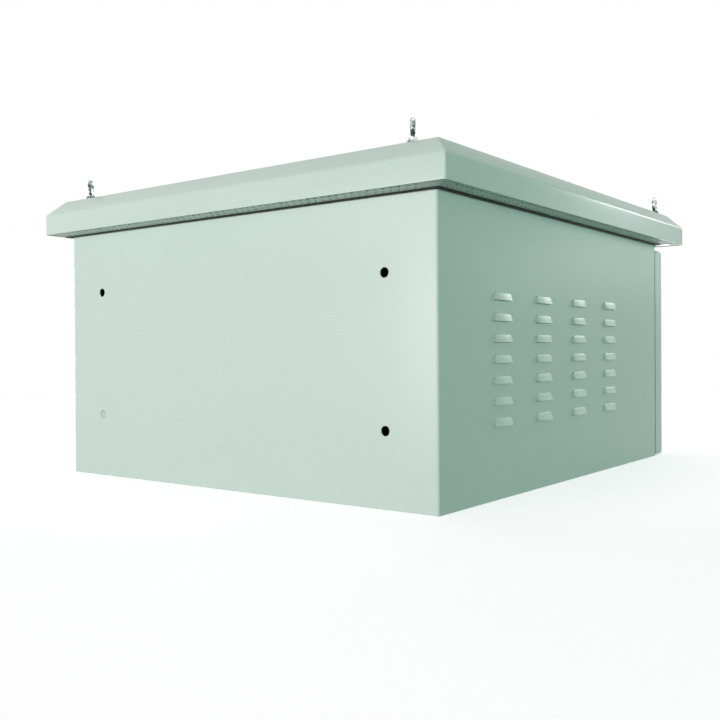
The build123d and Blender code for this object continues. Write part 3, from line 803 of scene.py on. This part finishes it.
@dataclass
class LouvredWrap:
    """Both sides and the back, folded from one sheet, with pressed louvres and wall holes."""

    half_width: float = 300.0
    front: float = -300.0
    back: float = 330.0
    height: float = 345.0
    sheet: float = 1.5
    bend: float = 3.0
    hole_radius: float = 5.5
    hole_half_span: float = 235.0
    hole_levels: tuple[float, float] = (82.5, 247.5)
    columns: int = 4
    rows: int = 7
    pitch_along: float = 103.5
    pitch_up: float = 23.3
    middle_along: float = 41.0
    middle_up: float = 151.6
    louvre_half_width: float = 19.5
    louvre_height: float = 9.4
    louvre_rise: float = 4.6
    louvre_top_rise: float = 1.6
    louvre_corner: float = 4.4
    louvre_roll: float = 1.6
    louvre_sheet: float = 1.1
    seat: float = 0.3
    slot_inset: float = 2.2
    slot_lift: float = 0.4

    def fold_sheet(self) -> Piece:
        """Fold the sheet round the back.

        Returns:
            The wrap without louvres and holes.
        """
        wrap = add_block(
            "wrap_with_louvres",
            (-self.half_width, self.front, 0.0),
            (self.half_width, self.back, self.height),
        )
        with editing(wrap):
            bevel(wrap, self.bend, 5, lambda a, b: both_near(a.y, b.y, self.back) and near(a.x, b.x / MM))
            cut_away(wrap, lambda middle, normal: abs(normal.z) > 0.9 or normal.y < -0.9)
        thicken(wrap, self.sheet)
        return wrap

    def press_louvre(self) -> Piece:
        """Shape one louvre with its open mouth at Z = 0, on a wall at X = 0.

        Returns:
            The louvre, which rises along +X towards its mouth.
        """
        rise, half, top = self.louvre_rise, self.louvre_half_width, self.louvre_height
        louvre = add_block("louvre", (0.0, -half, 0.0), (rise, half, top))
        with editing(louvre):
            pick(louvre, "VERT", lambda at: near(at.x, rise) and near(at.z, top))
            bpy.ops.transform.translate(value=((self.louvre_top_rise - rise) * MM, 0, 0))
            bevel(
                louvre, self.louvre_corner, 7, lambda a, b: near(a.y, b.y / MM) and both_near(a.z, b.z, top)
            )
            bevel(louvre, self.louvre_roll, 4, lambda a, b: min(a.x, b.x) > TINY < max(a.z, b.z), clamp=True)
            cut_away(louvre, lambda middle, out: out.x < -0.9 or (out.z < -0.9 and middle.z < TINY))
        thicken(louvre, self.louvre_sheet, even=False)
        louvre.data.transform(Matrix.Translation((-self.seat * MM, 0, 0)))
        return louvre

    def louvre_places(self) -> list[tuple[float, float]]:
        """List where the louvres' mouths are.

        Returns:
            Each mouth's place along the side and up it.
        """
        return [
            (
                self.middle_along + (column - (self.columns - 1) / 2) * self.pitch_along,
                self.middle_up + (row - (self.rows - 1) / 2) * self.pitch_up,
            )
            for column in range(self.columns)
            for row in range(self.rows)
        ]

    def build(self) -> None:
        """Make the wrap, punch it and add its louvres."""
        wrap = self.fold_sheet()
        cutters = []
        deep = 3 * self.sheet
        reach = self.louvre_half_width - self.slot_inset
        rise = self.louvre_height - self.slot_inset
        for side in (-1, 1):
            x = side * self.half_width
            for along, up in self.louvre_places():
                low = (x - deep, along - reach, up + self.slot_lift)
                cutters.append(add_block("slot_tool", low, (x + deep, along + reach, up + rise)))
            x = side * self.hole_half_span
            for level in self.hole_levels:
                ends = ((x, self.back - deep, level), (x, self.back + deep, level))
                cutters.append(add_rod("hole_tool", self.hole_radius, *ends, 64))
        combine(wrap, join(cutters, "wrap_tools"), Cut.TAKE_OUT)
        louvre = self.press_louvre()
        copies = [wrap]
        for side in (-1, 1):
            facing = Matrix.Identity(4) if side > 0 else Matrix.Rotation(math.pi, 4, "Z")
            for along, up in self.louvre_places():
                move = Matrix.Translation(metres((side * self.half_width, along, up))) @ facing
                copies.append(copy_of(louvre, "louvre_copy", move))
        remove(louvre)
        join(copies, "wrap_with_louvres")
        present(wrap, Body.CABINET, Slot.PAINT, ["body_wrap"])


@dataclass
class RainHood:
    """The hood, folded from one sheet: a deep fascia, a chamfer all round and a flat top."""

    half_width: float = 326.0
    half_depth: float = 356.0
    eave: float = 330.0
    fascia: float = 27.0
    chamfer: float = 20.0
    sheet: float = 1.5
    fold_radius: float = 2.6
    hole_radius: float = 4.4
    punch: float = 5.0
    eyes: tuple[tuple[float, float], ...] = (
        (-267.0, 323.0), (267.0, 323.0), (-294.0, -318.0), (294.0, -318.0)
    )

    def build(self) -> None:
        """Fold the hood and punch its eye bolt holes."""
        fold = self.eave + self.fascia
        top = fold + self.chamfer
        hood = add_block(
            "folded_rain_hood",
            (-self.half_width, -self.half_depth, self.eave),
            (self.half_width, self.half_depth, top),
        )
        with editing(hood):
            bevel(hood, self.chamfer, 1, lambda a, b: both_near(a.z, b.z, top))
            bevel(hood, self.fold_radius, 4, lambda a, b: not both_near(a.z, b.z, self.eave))
            cut_away(hood, lambda middle, normal: normal.z < -0.9)
        thicken(hood, self.sheet)
        tools = [
            add_rod("eye_hole_tool", self.hole_radius, (x, y, top - self.punch), (x, y, top + self.punch), 32)
            for x, y in self.eyes
        ]
        combine(hood, join(tools, "eye_hole_tools"), Cut.TAKE_OUT)
        present(hood, Body.CABINET, Slot.PAINT, ["roof_hood"])


@dataclass
class EaveStrips:
    """The four perforated strips under the hood, mitred at their corners."""

    outer_x: float = 324.5
    outer_y: float = 354.5
    inner_x: float = 306.0
    inner_back: float = 336.0
    inner_front: float = -306.0
    gap: float = 6.0
    level: float = 331.0
    sheet: float = 1.5
    leg: float = 12.0
    hole_radius: float = 2.1
    hole_pitch: float = 10.0
    row_gap: float = 8.7
    edge: float = 6.0
    back_margin: float = 34.0
    side_margin: float = 22.0
    slope: float = 3.0
    # The black edging below paints the shadow gap between the eaves and the walls; these are its drop, rise
    # and air gap.
    shadow_gap_drop: float = 4.4
    shadow_gap_rise: float = 0.5
    shadow_gap_air: float = 1.5

    def plate(
        self, name: str, run: int, outers: Sequence[Sequence[float]], inners: Sequence[Sequence[float]]
    ) -> Piece:
        """Make a flat plate whose inner corners are drawn in to their mitres.

        Args:
            name: the plate's name.
            run: the axis along the plate.
            outers: the ends of its outer edge, seen from above.
            inners: the ends of its inner edge.

        Returns:
            The plate.
        """
        low, high = box_of(*outers, *inners)
        plate = add_block(name, (*low, self.level), (*high, self.level + self.sheet))
        with editing(plate):
            for outer, inner in zip(outers, inners):
                x, y = (outer[0], inner[1]) if run == 0 else (inner[0], outer[1])
                pick(plate, "VERT", lambda at: near(at.x, x) and near(at.y, y))
                bpy.ops.transform.translate(value=((inner[0] - x) * MM, (inner[1] - y) * MM, 0.0))
        return plate

    def perforate(
        self, strip: Piece, start: Point, end: Point, inward: Point, margin: float
    ) -> None:
        """Punch two staggered rows of round holes along a strip.

        Args:
            strip: the strip to punch.
            start: one end of its outer edge.
            end: the other end of its outer edge.
            inward: the direction from the outer edge to the body.
            margin: the length without holes at each end.
        """
        first, last, across = Vector(start), Vector(end), Vector(inward)
        along = (last - first).normalized()
        count = int(((last - first).length - 2 * margin) / self.hole_pitch)
        middle = (first + last) / 2
        tools = []
        for row in (0, 1):
            offset = across * (self.edge + row * self.row_gap) + along * (row - 0.5) * self.hole_pitch / 2
            for number in range(count):
                spot = middle + offset + along * (number - (count - 1) / 2) * self.hole_pitch
                tools.append((spot.x, spot.y))
        pin = add_rod("vent_tool", self.hole_radius, (0, 0, self.level - 2), (0, 0, self.level + 4), 12)
        copies = [copy_of(pin, "vent_tool_copy", Matrix.Translation(metres((x, y, 0)))) for x, y in tools]
        remove(pin)
        combine(strip, join(copies, "vent_tools"), Cut.TAKE_OUT)

    def build(self) -> None:
        """Make the four strips."""
        top, leg_top = self.level + self.sheet, self.level + self.leg
        ox, oy, ix, back, front = self.outer_x, self.outer_y, self.inner_x, self.inner_back, self.inner_front
        plans = {
            "back": ((-ox, oy), (ox, oy), (ix, back), (-ix, back), self.back_margin),
            "front": ((ox, -oy), (-ox, -oy), (-ix, front), (ix, front), self.back_margin),
            "left": ((-ox, -oy), (-ox, oy), (-ix, back), (-ix, front), self.side_margin),
            "right": ((ox, oy), (ox, -oy), (ix, front), (ix, back), self.side_margin),
        }
        for side, (start, end, inner_end, inner_start, margin) in plans.items():
            run = 0 if side in ("back", "front") else 1
            strip = self.plate(f"vented_eave_{side}", run, (start, end), (inner_start, inner_end))
            inward = Vector((0.0, 0.0, 0.0))
            inward[1 - run] = math.copysign(1.0, inner_start[1 - run] - start[1 - run])
            self.perforate(strip, (*start, 0.0), (*end, 0.0), tuple(inward), margin)
            near_wall = [start[k] + inward[k] * self.sheet for k in (0, 1)]
            low, high = box_of(start, end, near_wall)
            low[run] += 2 * self.sheet
            high[run] -= 2 * self.sheet
            leg = add_block("eave_leg", (*low, top - self.sheet / 2), (*high, leg_top))
            combine(strip, leg, Cut.MERGE)
            self.lean(strip, 1 - run, start[1 - run], inner_start[1 - run])
            present(strip, Body.CABINET, Slot.PAINT, [f"eave_strip_{side}"])
        # Add the black band that paints the shadow gap under the eaves.
        self.shadow_gap_edging()

    def lean(self, strip: Piece, axis: int, outer: float, inner: float) -> None:
        """Let a strip fall a little from its outer edge to its inner one.

        Args:
            strip: the strip.
            axis: the axis across the strip.
            outer: where its outer edge is on that axis.
            inner: where its inner edge is on that axis.
        """
        for point in strip.data.vertices:
            share = (point.co[axis] / MM - outer) / (inner - outer)
            point.co.z -= share * self.slope * MM

    def shadow_gap_edging(self) -> None:
        """Push one black edging round the inner edges of the strips, just off the walls: a black band that
        paints the dark shadow gap between the eaves and the walls.
        """
        low_z, high_z = self.level - self.shadow_gap_drop, self.level + self.shadow_gap_rise
        lip, width = self.sheet / 2, self.gap - self.shadow_gap_air
        x, front, back = self.inner_x, self.inner_front, self.inner_back
        shadow_band = add_block("eave_shadow_gap_edging", (-x - lip, front - lip, low_z), (x + lip, back + lip, high_z))
        low, high = (-x + width, front + width, low_z - 1), (x - width, back - width, high_z + 1)
        core = add_block("edging_core", low, high)
        combine(shadow_band, core, Cut.TAKE_OUT)
        round_edges(shadow_band, 0.5, 2)
        present(shadow_band, Body.CABINET, Slot.SEAL)


@dataclass
class LiftingEyes:
    """The cast lifting eyes, each turned to the angle at which it came tight."""

    roof: float = 377.0
    ring_radius: float = 11.5
    wire_radius: float = 3.0
    height: float = 27.0
    collar_radius: float = 7.5
    collar_height: float = 3.0
    neck_radius: float = 3.8
    shank_radius: float = 4.0
    shank_length: float = 14.0
    grain: float = 0.45
    places: tuple[tuple[str, float, float, float], ...] = (
        ("back_left", -267.0, 323.0, 123.0),
        ("back_right", 267.0, 323.0, 134.0),
        ("front_left", -294.0, -318.0, 99.0),
        ("front_right", 294.0, -318.0, 66.0),
    )

    def cast(self) -> Piece:
        """Make one eye with the seat of its collar at the origin and its ring across Y.

        Returns:
            The eye.
        """
        ring_level = self.height - self.ring_radius
        clear_selection()
        bpy.ops.mesh.primitive_torus_add(
            major_radius=(self.ring_radius - self.wire_radius) * MM,
            minor_radius=self.wire_radius * MM,
            major_segments=72,
            minor_segments=24,
            location=(0, 0, ring_level * MM),
            rotation=(math.pi / 2, 0, 0),
        )
        eye = settle(bpy.context.active_object)
        collar, neck, shank = self.collar_radius, self.neck_radius, self.shank_radius
        crown, foot = self.collar_height, -self.shank_length
        stem = turn(
            "eye_stem",
            [
                (0.0, foot), (shank - 0.8, foot), (shank, foot + 0.8), (shank, 0.0), (collar - 0.5, 0.0),
                (collar, 0.5), (collar, crown - 1.2), (collar - 1.2, crown), (neck + 2.4, crown + 0.6),
                (neck + 1.3, crown + 1.8), (neck + 0.3, crown + 3.6), (0.0, crown + 4.2),
            ],
            48,
        )
        combine(eye, stem, Cut.MERGE)
        modify(eye, "REMESH", {"mode": "VOXEL", "voxel_size": self.grain * MM})
        modify(eye, "SMOOTH", {"factor": 0.5, "iterations": 5})
        return eye

    def build(self) -> None:
        """Cast the four eyes."""
        eye = self.cast()
        for place, x, y, angle in self.places:
            spin = Matrix.Rotation(math.radians(angle), 4, "Z")
            seat = Matrix.Translation(metres((x, y, self.roof)))
            piece = copy_of(eye, f"lifting_eye_{place}", seat @ spin)
            present(piece, Body.CABINET, Slot.BRIGHT, [f"eye_bolt_{place}"], Finishes.EYE)
        remove(eye)


@dataclass
class HolePlug:
    """The flush blanking plug in the lower wall hole on the hinge side."""

    x: float = 235.0
    level: float = 82.5
    back: float = 330.0
    radius: float = 4.9
    flange_radius: float = 8.5
    sheet: float = 1.5
    flange: float = 2.0

    def build(self) -> None:
        """Turn the plug."""
        deep, wide, slim = self.sheet + self.flange, self.flange_radius, self.radius
        plug = turn(
            "wall_plug",
            [
                (0.0, -deep), (wide - 0.4, -deep), (wide, -deep + 0.4), (wide, -self.sheet),
                (slim, -self.sheet), (slim, -0.35), (slim - 0.35, 0.0), (0.0, 0.0),
            ],
            48,
        )
        stand(plug, (self.x, self.back, self.level), (0, 1, 0))
        present(plug, Body.CABINET, Slot.PLUG, ["wall_hole_plug"])


@dataclass
class Door:
    """The folded door tray, with rounded front edges and two lock holes."""

    half_width: float = 300.0
    low: float = 1.0
    high: float = 320.0
    front: float = -333.0
    back: float = -303.0
    sheet: float = 1.5
    corner: float = 4.0
    bend: float = 3.0
    lock_x: float = -248.0
    lock_levels: tuple[float, float] = (90.0, 230.0)
    lock_hole: float = 9.3
    punch: float = 4.0

    def build(self) -> None:
        """Fold the door and cut its lock holes."""
        door = add_block(
            "folded_door", (-self.half_width, self.front, self.low), (self.half_width, self.back, self.high)
        )
        with editing(door):
            bevel(door, self.corner, 6, lambda a, b: near(a.x, b.x / MM) and near(a.z, b.z / MM))
            bevel(door, self.bend, 5, lambda a, b: both_near(a.y, b.y, self.front))
            cut_away(door, lambda middle, normal: normal.y > 0.9)
        thicken(door, self.sheet)
        x, ahead, behind = self.lock_x, self.front - self.punch, self.front + self.punch
        tools = [
            add_rod("lock_hole_tool", self.lock_hole, (x, ahead, level), (x, behind, level), 64)
            for level in self.lock_levels
        ]
        combine(door, join(tools, "lock_hole_tools"), Cut.TAKE_OUT)
        present(door, Body.DOOR, Slot.PAINT, ["door_panel"])


@dataclass
class Locks:
    """The quarter turn locks: turned housings, and cores with a triangular key recess."""

    x: float = -248.0
    front: float = -333.0
    housing_back: float = -298.2
    cam_front: float = -297.9
    head_radius: float = 14.0
    head_height: float = 3.0
    barrel_radius: float = 9.0
    bore_radius: float = 6.05
    core_radius: float = 6.0
    key_radius: float = 4.2
    key_depth: float = 8.0
    key_pin_radius: float = 1.6
    levels: tuple[tuple[str, float, Body], ...] = (
        ("lower", 90.0, Body.LOCK_LOWER),
        ("upper", 230.0, Body.LOCK_UPPER),
    )

    def housing(self, place: str, level: float) -> None:
        """Turn one lock housing.

        Args:
            place: which lock it is.
            level: its height.
        """
        head, barrel, bore = self.head_radius, self.barrel_radius, self.bore_radius
        face, length = self.head_height, self.housing_back - self.front
        piece = turn(
            f"lock_body_{place}",
            [
                (bore, face - 0.4), (bore + 0.5, face), (head - 2.4, face), (head - 1.1, face - 0.4),
                (head - 0.25, face - 1.2), (head, face - 2.2), (head, 0.0), (barrel, 0.0),
                (barrel, -length), (bore, -length), (bore, face - 0.4),
            ],
            96,
        )
        stand(piece, (self.x, self.front, level), (0, -1, 0))
        present(piece, Body.DOOR, Slot.CHROME, [f"lock_housing_{place}"])

    def core(self, place: str, level: float, body: Body) -> None:
        """Turn one lock core and sink its key recess.

        Args:
            place: which lock it is.
            level: its height.
            body: the body that it rides on.
        """
        face = self.head_height * 2 / 3
        end = -(self.cam_front - self.front)
        radius = self.core_radius
        piece = turn(
            f"lock_turn_{place}",
            [(0.0, end), (radius, end), (radius, face - 0.4), (radius - 0.4, face), (0.0, face)],
            72,
        )
        foot = face - self.key_depth
        tool = add_rod("key_tool", self.key_radius, (0, 0, foot), (0, 0, face + 1), 3)
        combine(piece, tool, Cut.TAKE_OUT)
        tip, slim = foot + self.key_depth / 2, self.key_pin_radius
        pin = turn(
            "key_pin",
            [(0.0, foot - 0.5), (slim, foot - 0.5), (slim, tip - 0.3), (slim - 0.3, tip), (0.0, tip)],
            32,
        )
        join([piece, pin], f"lock_turn_{place}")
        stand(piece, (self.x, self.front, level), (0, -1, 0))
        present(piece, body, Slot.CHROME, [f"lock_core_{place}"])

    def build(self) -> None:
        """Make both locks."""
        for place, level, body in self.levels:
            self.housing(place, level)
            self.core(place, level, body)


@dataclass
class Hinges:
    """The lift off hinges: leaves rolled round a pin."""

    axis_x: float = 305.3
    axis_y: float = -300.0
    wall_x: float = 300.0
    leaf: float = 2.0
    leaf_width: float = 30.0
    notch: float = 1.0
    barrel_radius: float = 5.0
    pin_radius: float = 2.5
    clearance: float = 0.05
    half_length: float = 22.0
    gap: float = 0.3
    levels: tuple[tuple[str, float], ...] = (("lower", 65.0), ("upper", 255.0))

    def leaf_piece(
        self, name: str, level: float, facing: int, span: tuple[float, float], bore: float
    ) -> Piece:
        """Make one leaf with its knuckle.

        Args:
            name: the leaf's name.
            level: the middle of the hinge.
            facing: 1 for the body's leaf and -1 for the door's.
            span: the lower and upper end of its knuckle, from the middle.
            bore: the knuckle's bore radius.

        Returns:
            The leaf.
        """
        low, high = (level + end for end in span)
        x, y, wall, outer = self.axis_x, self.axis_y, self.wall_x, self.wall_x + self.leaf
        near_y = y + facing * (self.barrel_radius + self.notch)
        far_y = y + facing * (self.leaf_width + self.notch)
        leaf = add_block(
            name,
            (wall, min(near_y, far_y), level - self.half_length),
            (outer, max(near_y, far_y), level + self.half_length),
        )
        tongue = add_block("hinge_tongue", (wall, min(y, far_y), low), (outer, max(y, far_y), high))
        combine(leaf, tongue, Cut.MERGE)
        barrel = add_rod("hinge_barrel", self.barrel_radius, (x, y, low), (x, y, high), 64)
        combine(leaf, barrel, Cut.MERGE)
        drill = add_rod("hinge_drill", bore, (x, y, low - 1), (x, y, high + 1))
        combine(leaf, drill, Cut.TAKE_OUT)
        return leaf

    def build(self) -> None:
        """Make both hinges and their pins."""
        half, radius = self.half_length, self.pin_radius
        for place, level in self.levels:
            body_leaf = self.leaf_piece(f"hinge_fixed_leaf_{place}", level, 1, (-half, 0.0), radius)
            present(body_leaf, Body.CABINET, Slot.HINGE, [f"hinge_body_leaf_{place}"])
            bore = radius + self.clearance
            door_leaf = self.leaf_piece(f"hinge_swing_leaf_{place}", level, -1, (self.gap, half), bore)
            present(door_leaf, Body.DOOR, Slot.HINGE, [f"hinge_door_leaf_{place}"])
            outline = [(0.0, -half), (radius, -half), (radius, half - 0.8), (radius - 0.8, half), (0.0, half)]
            pin = turn(f"hinge_rod_{place}", outline, 48)
            stand(pin, (self.axis_x, self.axis_y, level), (0, 0, 1))
            present(pin, Body.CABINET, Slot.HINGE, [f"hinge_pin_{place}"], Finishes.BRIGHT)


@dataclass(frozen=True)
class Softbox:
    """One soft lamp: where it hangs and points in metres, its size, its power in watts and its tint."""

    name: str
    place: Point
    aim: Point
    size: tuple[float, float]
    power: float
    tint: Colour = (1.0, 1.0, 1.0)

    def hang(self) -> None:
        """Hang the lamp."""
        light = bpy.data.lights.new(self.name, "AREA")
        light.shape = "RECTANGLE"
        light.size, light.size_y = self.size
        light.energy = self.power
        light.color = self.tint
        lamp = bpy.data.objects.new(self.name, light)
        lamp.location = self.place
        lamp.rotation_euler = (Vector(self.aim) - Vector(self.place)).to_track_quat("-Z", "Y").to_euler()
        bpy.context.scene.collection.objects.link(lamp)


# The lamps hang low, so that the upright faces are the bright ones.
SOFTBOXES = (
    Softbox("wall_side_softbox", (0.4, 3.5, 0.22), (0.0, 0.33, 0.2), (2.6, 1.0), 152.0, (1.0, 0.92, 0.94)),
    Softbox("louvre_side_softbox", (-3.4, 0.3, 0.35), (-0.3, 0.1, 0.15), (1.6, 1.0), 43.0, (0.72, 1.0, 0.93)),
    Softbox("louvre_glint_box", (-0.85, -2.8, 1.20), (-0.3, 0.0, 0.15), (0.6, 0.3), 9.0),
    Softbox("side_sheen_strip", (-1.48, -2.8, 0.72), (-0.3, 0.0, 0.25), (0.9, 0.5), 3.5, (0.95, 1.0, 1.0)),
    Softbox("door_side_softbox", (1.2, -3.4, 0.50), (0.1, -0.3, 0.2), (2.2, 1.0), 82.0, (1.0, 0.97, 0.98)),
    Softbox("hinge_side_softbox", (3.4, -0.4, 0.50), (0.3, 0.0, 0.15), (1.6, 1.0), 60.0, (0.93, 1.0, 0.97)),
    Softbox("top_softbox", (0.0, 0.0, 3.6), (0.0, 0.0, 0.3), (2.2, 2.2), 15.0),
)


@dataclass
class Studio:
    """The white floor, the lamps, the world and the camera."""

    floor_size: float = 60.0
    floor_tone: float = 0.80
    floor_lift: float = 0.58
    floor_bounce: Colour = (0.22, 0.24, 0.22)
    shade_reach: tuple[float, float] = (1.1, 2.6)
    camera_place: Point = (-0.7795, 1.0908, 0.1659)
    yaw: float = 0.64883
    pitch: float = -0.00991
    roll: float = -0.00683
    focal_pixels: float = 899.17
    picture_pixels: float = 720.0
    sensor: float = 36.0
    world_level: float = 0.14
    white: Colour = (1.0, 1.0, 1.0)

    def floor(self) -> None:
        """Lay the floor, which the camera sees as white apart from the cabinet's soft shadow."""
        clear_selection()
        bpy.ops.mesh.primitive_plane_add(size=self.floor_size)
        floor = bpy.context.active_object
        floor.name = "studio_floor"
        material = bpy.data.materials.new("studio_floor_white")
        graph = Graph(material)
        length = graph.add("ShaderNodeVectorMath", {"operation": "LENGTH"}, {0: graph.place()})
        distance = Maths(graph, length.outputs[1])
        start, end = self.shade_reach
        fade = ((distance - start) * (1 / (end - start))).at_most(1.0).at_least(0.0)
        seen = self.seen_rays(graph)
        white, tone = (*self.white, 1.0), self.floor_tone
        plain = graph.output("ShaderNodeBsdfDiffuse", {"Color": (*self.floor_bounce, 1.0)})
        lit = graph.output("ShaderNodeBsdfDiffuse", {"Color": (tone, tone, tone, 1.0)})
        lift = graph.output("ShaderNodeEmission", {"Color": white, "Strength": self.floor_lift})
        shaded = graph.output("ShaderNodeAddShader", {0: lit, 1: lift})
        blank = graph.output("ShaderNodeEmission", {"Color": white, "Strength": 1.0})
        visible = graph.output("ShaderNodeMixShader", {0: fade, 1: shaded, 2: blank})
        whole = graph.output("ShaderNodeMixShader", {0: seen, 1: plain, 2: visible})
        graph.add("ShaderNodeOutputMaterial", None, {"Surface": whole})
        floor.data.materials.append(material)

    @staticmethod
    def seen_rays(graph: Graph) -> Maths:
        """Give 1 for what the camera sees, itself or in gloss or glass.

        Args:
            graph: the tree that asks.

        Returns:
            The mask.
        """
        path = graph.add("ShaderNodeLightPath")
        seen = Maths(graph, path.outputs["Is Camera Ray"])
        for name in ("Is Glossy Ray", "Is Transmission Ray"):
            seen = seen.at_least(Maths(graph, path.outputs[name]))
        return seen

    def world(self) -> None:
        """Light the room evenly and show it as white."""
        world = bpy.data.worlds.new("studio_world")
        bpy.context.scene.world = world
        graph = Graph(world)
        seen = self.seen_rays(graph)
        level = seen * (1.0 - self.world_level) + self.world_level
        sky = graph.output("ShaderNodeBackground", {"Color": (*self.white, 1.0), "Strength": level})
        graph.add("ShaderNodeOutputWorld", None, {"Surface": sky})

    def camera(self) -> None:
        """Set the camera where the photograph was taken from."""
        across = math.cos(self.pitch)
        forward = Vector(
            (math.sin(self.yaw) * across, -math.cos(self.yaw) * across, math.sin(self.pitch))
        )
        level_right = forward.cross(Vector((0, 0, 1))).normalized()
        level_up = level_right.cross(forward)
        right = math.cos(self.roll) * level_right + math.sin(self.roll) * level_up
        up = math.cos(self.roll) * level_up - math.sin(self.roll) * level_right
        turned = Matrix((right, up, -forward)).transposed().to_4x4()
        data = bpy.data.cameras.new("photo_camera")
        data.sensor_fit = "HORIZONTAL"
        data.sensor_width = self.sensor
        data.lens = self.focal_pixels / self.picture_pixels * self.sensor
        data.clip_start = 10 * MM
        camera = bpy.data.objects.new("photo_camera", data)
        camera.matrix_world = Matrix.Translation(Vector(self.camera_place)) @ turned
        bpy.context.scene.collection.objects.link(camera)
        bpy.context.scene.camera = camera

    def build(self) -> None:
        """Set up the studio."""
        self.camera()
        self.floor()
        self.world()
        for softbox in SOFTBOXES:
            softbox.hang()
        bpy.context.scene.view_settings.view_transform = "Standard"


def dress_nodes(frame: dict) -> None:
    """Give every carried node the finish of its slot.
    """
    for row in frame["record"]["subparts"]:
        node = frame["nodes"][row["node"]]
        finish = SLOT_FINISHES[Slot(row["material_slot"])]
        if row["node"] == "door_gasket":
            finish = Finishes.FOAM
        finish.put_on(node)


def main() -> None:
    """Build the cabinet's look and the studio."""
    logging.basicConfig(level=logging.INFO, format="%(message)s")
    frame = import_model()
    dress_nodes(frame)
    assemblies = (LouvredWrap, RainHood, EaveStrips, LiftingEyes, HolePlug, Door, Locks, Hinges, Studio)
    for assembly in assemblies:
        assembly().build()


if __name__ == "__main__":
    main()
